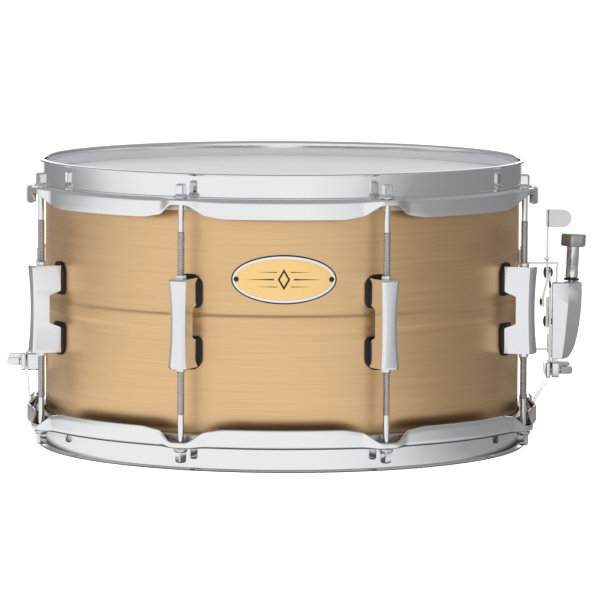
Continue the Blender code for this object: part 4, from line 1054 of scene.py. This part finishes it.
def makeStraps():
    h = hoopShape
    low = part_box("strainer_strap")[0].z / mm + 0.25
    tip = 2 * beadHeight / mm - (h["rise"] - 31.0)
    shared = [(h["gateTip"] + 4.3, tip), (h["gateMid"] + 1.55, tip - 7.5), (h["gateMid"] + 0.9, tip - 12.5),
              (h["wall"] + 2.5, low + 0.9), (h["wall"] - 5, low), (166.4, low)]
    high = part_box("strainer_strap")[1].z / mm
    line = [(199.5, high), (199.5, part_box("strainer_clamp_plate")[0].z / mm - 1)] + shared
    strap = strapPiece("strainerStrap", line, "strainer_strap", None)
    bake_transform(strap)
    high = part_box("butt_strap")[1].z / mm
    line = [(189.4, high), (189.4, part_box("butt_clamp_plate")[0].z / mm - 1)] + shared
    strapPiece("buttStrap", [(-x, z) for x, z in line], "butt_strap", "drum")


mountScrews = {"sheet": 1.65, "inset": 5.5, "apart": 11, "buttInset": 6}


def makeStrainer():
    # the width of each one's rounded edges, mm
    for node, surface, width in (
            ("strainer_base", leverChrome, 0.5), ("strainer_slide_plate", leverChrome, 0.4),
            ("strainer_lever", leverChrome, 0.6), ("strainer_link", leverChrome, 0.5),
            ("knob_washer", nylon, 0.2), ("strainer_clamp_plate", castChrome, 0.5),
            ("butt_bracket", castChrome, 0.6), ("butt_clamp_plate", castChrome, 0.5)):
        soften(node, surface, width)
    makeHousing()
    makeKnob()
    makeRivet("leverPivotRivet", "lever_pivot_pin", "strainer_slide", 1.7, 1.4)
    makeRivet("linkPivotRivet", "link_pivot_pin", "drum", 1.7, 0)
    makeRivet("crankRivet", "crank_pin", "strainer_lever", 1.4, 0)
    makeLeverFold()
    for n in (1, 2):
        makeClampScrew(f"clampScrew{n}", f"strainer_clamp_screw_{n}", f"strainer_clamp_turn_{n}", 1, 9.6)
        makeClampScrew(f"buttScrew{n}", f"butt_clamp_screw_{n}", f"butt_clamp_turn_{n}", -1, 12.0)
    low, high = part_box("strainer_base")
    face, inset = mountScrews["sheet"] * mm, mountScrews["inset"] * mm
    for n, z in enumerate((high.z - inset, low.z + inset)):
        for side in (-1, 1):
            spot = (low.x + face, side * mountScrews["apart"] * mm, z)
            panHead(f"strainerMountScrew{2 * n + (side + 3) // 2}", spot, (1, 0, 0))
    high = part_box("butt_bracket")[1]
    panHead("buttMountScrew1", (high.x - face, 0, high.z - mountScrews["buttInset"] * mm), (-1, 0, 0))


makeStrainer()
makeStraps()
print("strainer, butt end and straps are made")


snareShape = {"strands": 20, "pitch": 2.1, "radius": 0.56, "relief": 0.09, "turn": 2.4, "step": 0.6,
              "sides": 6, "plate": 13.0}


# brazed end plates and coiled strands, the coils drawn coarser than real ones so that they show
def makeSnares():
    w = snareShape
    low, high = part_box("snare_wires")
    middle = (low.z + high.z) / 2 / mm
    reach = high.x / mm
    bm = bmesh.new()
    inner = reach - w["plate"] + 3
    rows = int(2 * inner / w["step"])
    for strand in range(w["strands"]):
        y = (strand - (w["strands"] - 1) / 2) * w["pitch"]
        rings = []
        for row in range(rows + 1):
            x = -inner + 2 * inner * row / rows
            ring = []
            for k in range(w["sides"]):
                angle = tau * k / w["sides"]
                r = w["radius"] - w["relief"] * cos(angle - tau * x / w["turn"] - strand)
                ring.append(Vector((x, y + r * cos(angle), middle + r * sin(angle))) * mm)
            rings.append(ring)
        addRings(bm, rings)
    newPiece("snareCoils", bm, wireSteel, "drum", 80, ["snare_wires"])
    bm = bmesh.new()
    half = high.y / mm
    for side in (-1, 1):
        outline = rounded([(side * (reach - w["plate"]), -half), (side * reach, -half), (side * reach, half),
                           (side * (reach - w["plate"]), half)], 2.0, 4, True)
        addRings(bm, [[Vector((p.x, p.y, z)) * mm for p in outline] for z in (middle - 0.58, middle + 0.58)])
    newPiece("snareEndPlates", bm, wireSteel, "drum", bevel=0.25 * mm)


makeSnares()
print("snare wires are made")


badgeShape = {"halfWide": 37.6, "halfTall": 17.6, "up": 31.4, "outline": 1.0, "rim": 1.9, "rivetAt": 33.9,
              "rivet": 1.9, "sides": 96}


# a point laid on the shell at the badge, mm
def onShell(across, up, out):
    radius = shellShape["radius"] + out
    turn = across / shellShape["radius"]
    return Vector((radius * sin(turn), -radius * cos(turn), beadHeight / mm + badgeShape["up"] + up)) * mm


# oval sheet bent to the shell, or an oval ring where there is a hole
def addOval(bm, wide, tall, low, high, hole=None):
    holeWide, holeTall = hole or (3.0, 1.4)
    tops, lows = [], []
    sides = badgeShape["sides"]
    for t in (0, 0.06, 0.25, 0.5, 0.75, 0.94, 1.0):
        across, up = wide + (holeWide - wide) * t, tall + (holeTall - tall) * t
        for rings, out in ((tops, high - (0.12 if t in (0, 1.0) else 0)), (lows, low)):
            rings.append([bm.verts.new(onShell(across * cos(tau * k / sides), up * sin(tau * k / sides), out))
                          for k in range(sides)])
    pairs = list(zip(tops, tops[1:])) + list(zip(lows, lows[1:])) + [(tops[0], lows[0])]
    if hole:
        pairs.append((tops[-1], lows[-1]))
    else:
        bm.faces.new(tops[-1])
        bm.faces.new(lows[-1])
    for first, second in pairs:
        for k in range(sides):
            after = (k + 1) % sides
            bm.faces.new((first[k], first[after], second[after], second[k]))


# oval gilt plate with a dark edge, a bright rim and a plain ornament: a lozenge between tapering rules
def makeBadge():
    b = badgeShape
    wide, tall = b["halfWide"], b["halfTall"]
    bm = bmesh.new()
    addOval(bm, wide, tall, 0.3, 0.8)
    newPiece("badgeBack", bm, blackEnamel, "drum", 40, ["badge"])
    bm = bmesh.new()
    first, second = b["outline"], b["outline"] + b["rim"]
    addOval(bm, wide - first, tall - first, 0.5, 1.05, (wide - second, tall - second))
    newPiece("badgeRim", bm, chrome, "drum", 40)
    bm = bmesh.new()
    addOval(bm, wide - second + 0.1, tall - second + 0.1, 0.5, 0.92)
    newPiece("badgeField", bm, gilt, "drum", 40)
    bm = bmesh.new()
    for side in (-1, 1):
        for up, start, end, half in ((0, 7, 27, 0.55), (5.2, 5, 20, 0.3), (-5.2, 5, 20, 0.3)):
            steps = [start + (end - start) * k / 8 for k in range(9)]
            edge = [(x, up + half * (1 - k / 8)) for k, x in enumerate(steps[:-1])] + [(end, up)]
            edge += [(x, up - half * (1 - k / 8)) for k, x in reversed(list(enumerate(steps[:-1])))]
            addRings(bm, [[onShell(side * x, y, out) for x, y in edge] for out in (0.8, 1.04)])
    lozenge = [(4.4, 0), (0, 7.6), (-4.4, 0), (0, -7.6)]
    inner = [(2.9, 0), (0, 5.0), (-2.9, 0), (0, -5.0)]
    rings = [[onShell(x, y, out) for x, y in shape] for shape, out in
             ((lozenge, 0.8), (lozenge, 1.06), (inner, 1.06), (inner, 0.8))]
    addRings(bm, rings, loop=True)
    newPiece("badgeOrnament", bm, blackEnamel, "drum", 30)
    for n, side in enumerate((-1, 1), 1):
        bm = bmesh.new()
        dome = [(b["rivet"] * cos(a), 0.3 + 0.9 * sin(a)) for a in [pi / 2 * k / 6 for k in range(6)]]
        turn = side * b["rivetAt"] / shellShape["radius"]
        spin = aimedAt((sin(turn), -cos(turn), 0))
        spot = onShell(side * b["rivetAt"], 0, 0.6)
        outline = [(0, 0), (b["rivet"], 0)] + dome + [(0, 1.2)]
        addTurned(bm, [(r * mm, z * mm) for r, z in outline], 32, spot, spin)
        newPiece(f"badgeRivet{n}", bm, blackEnamel, "drum", 50)


makeBadge()
print("badge is made")
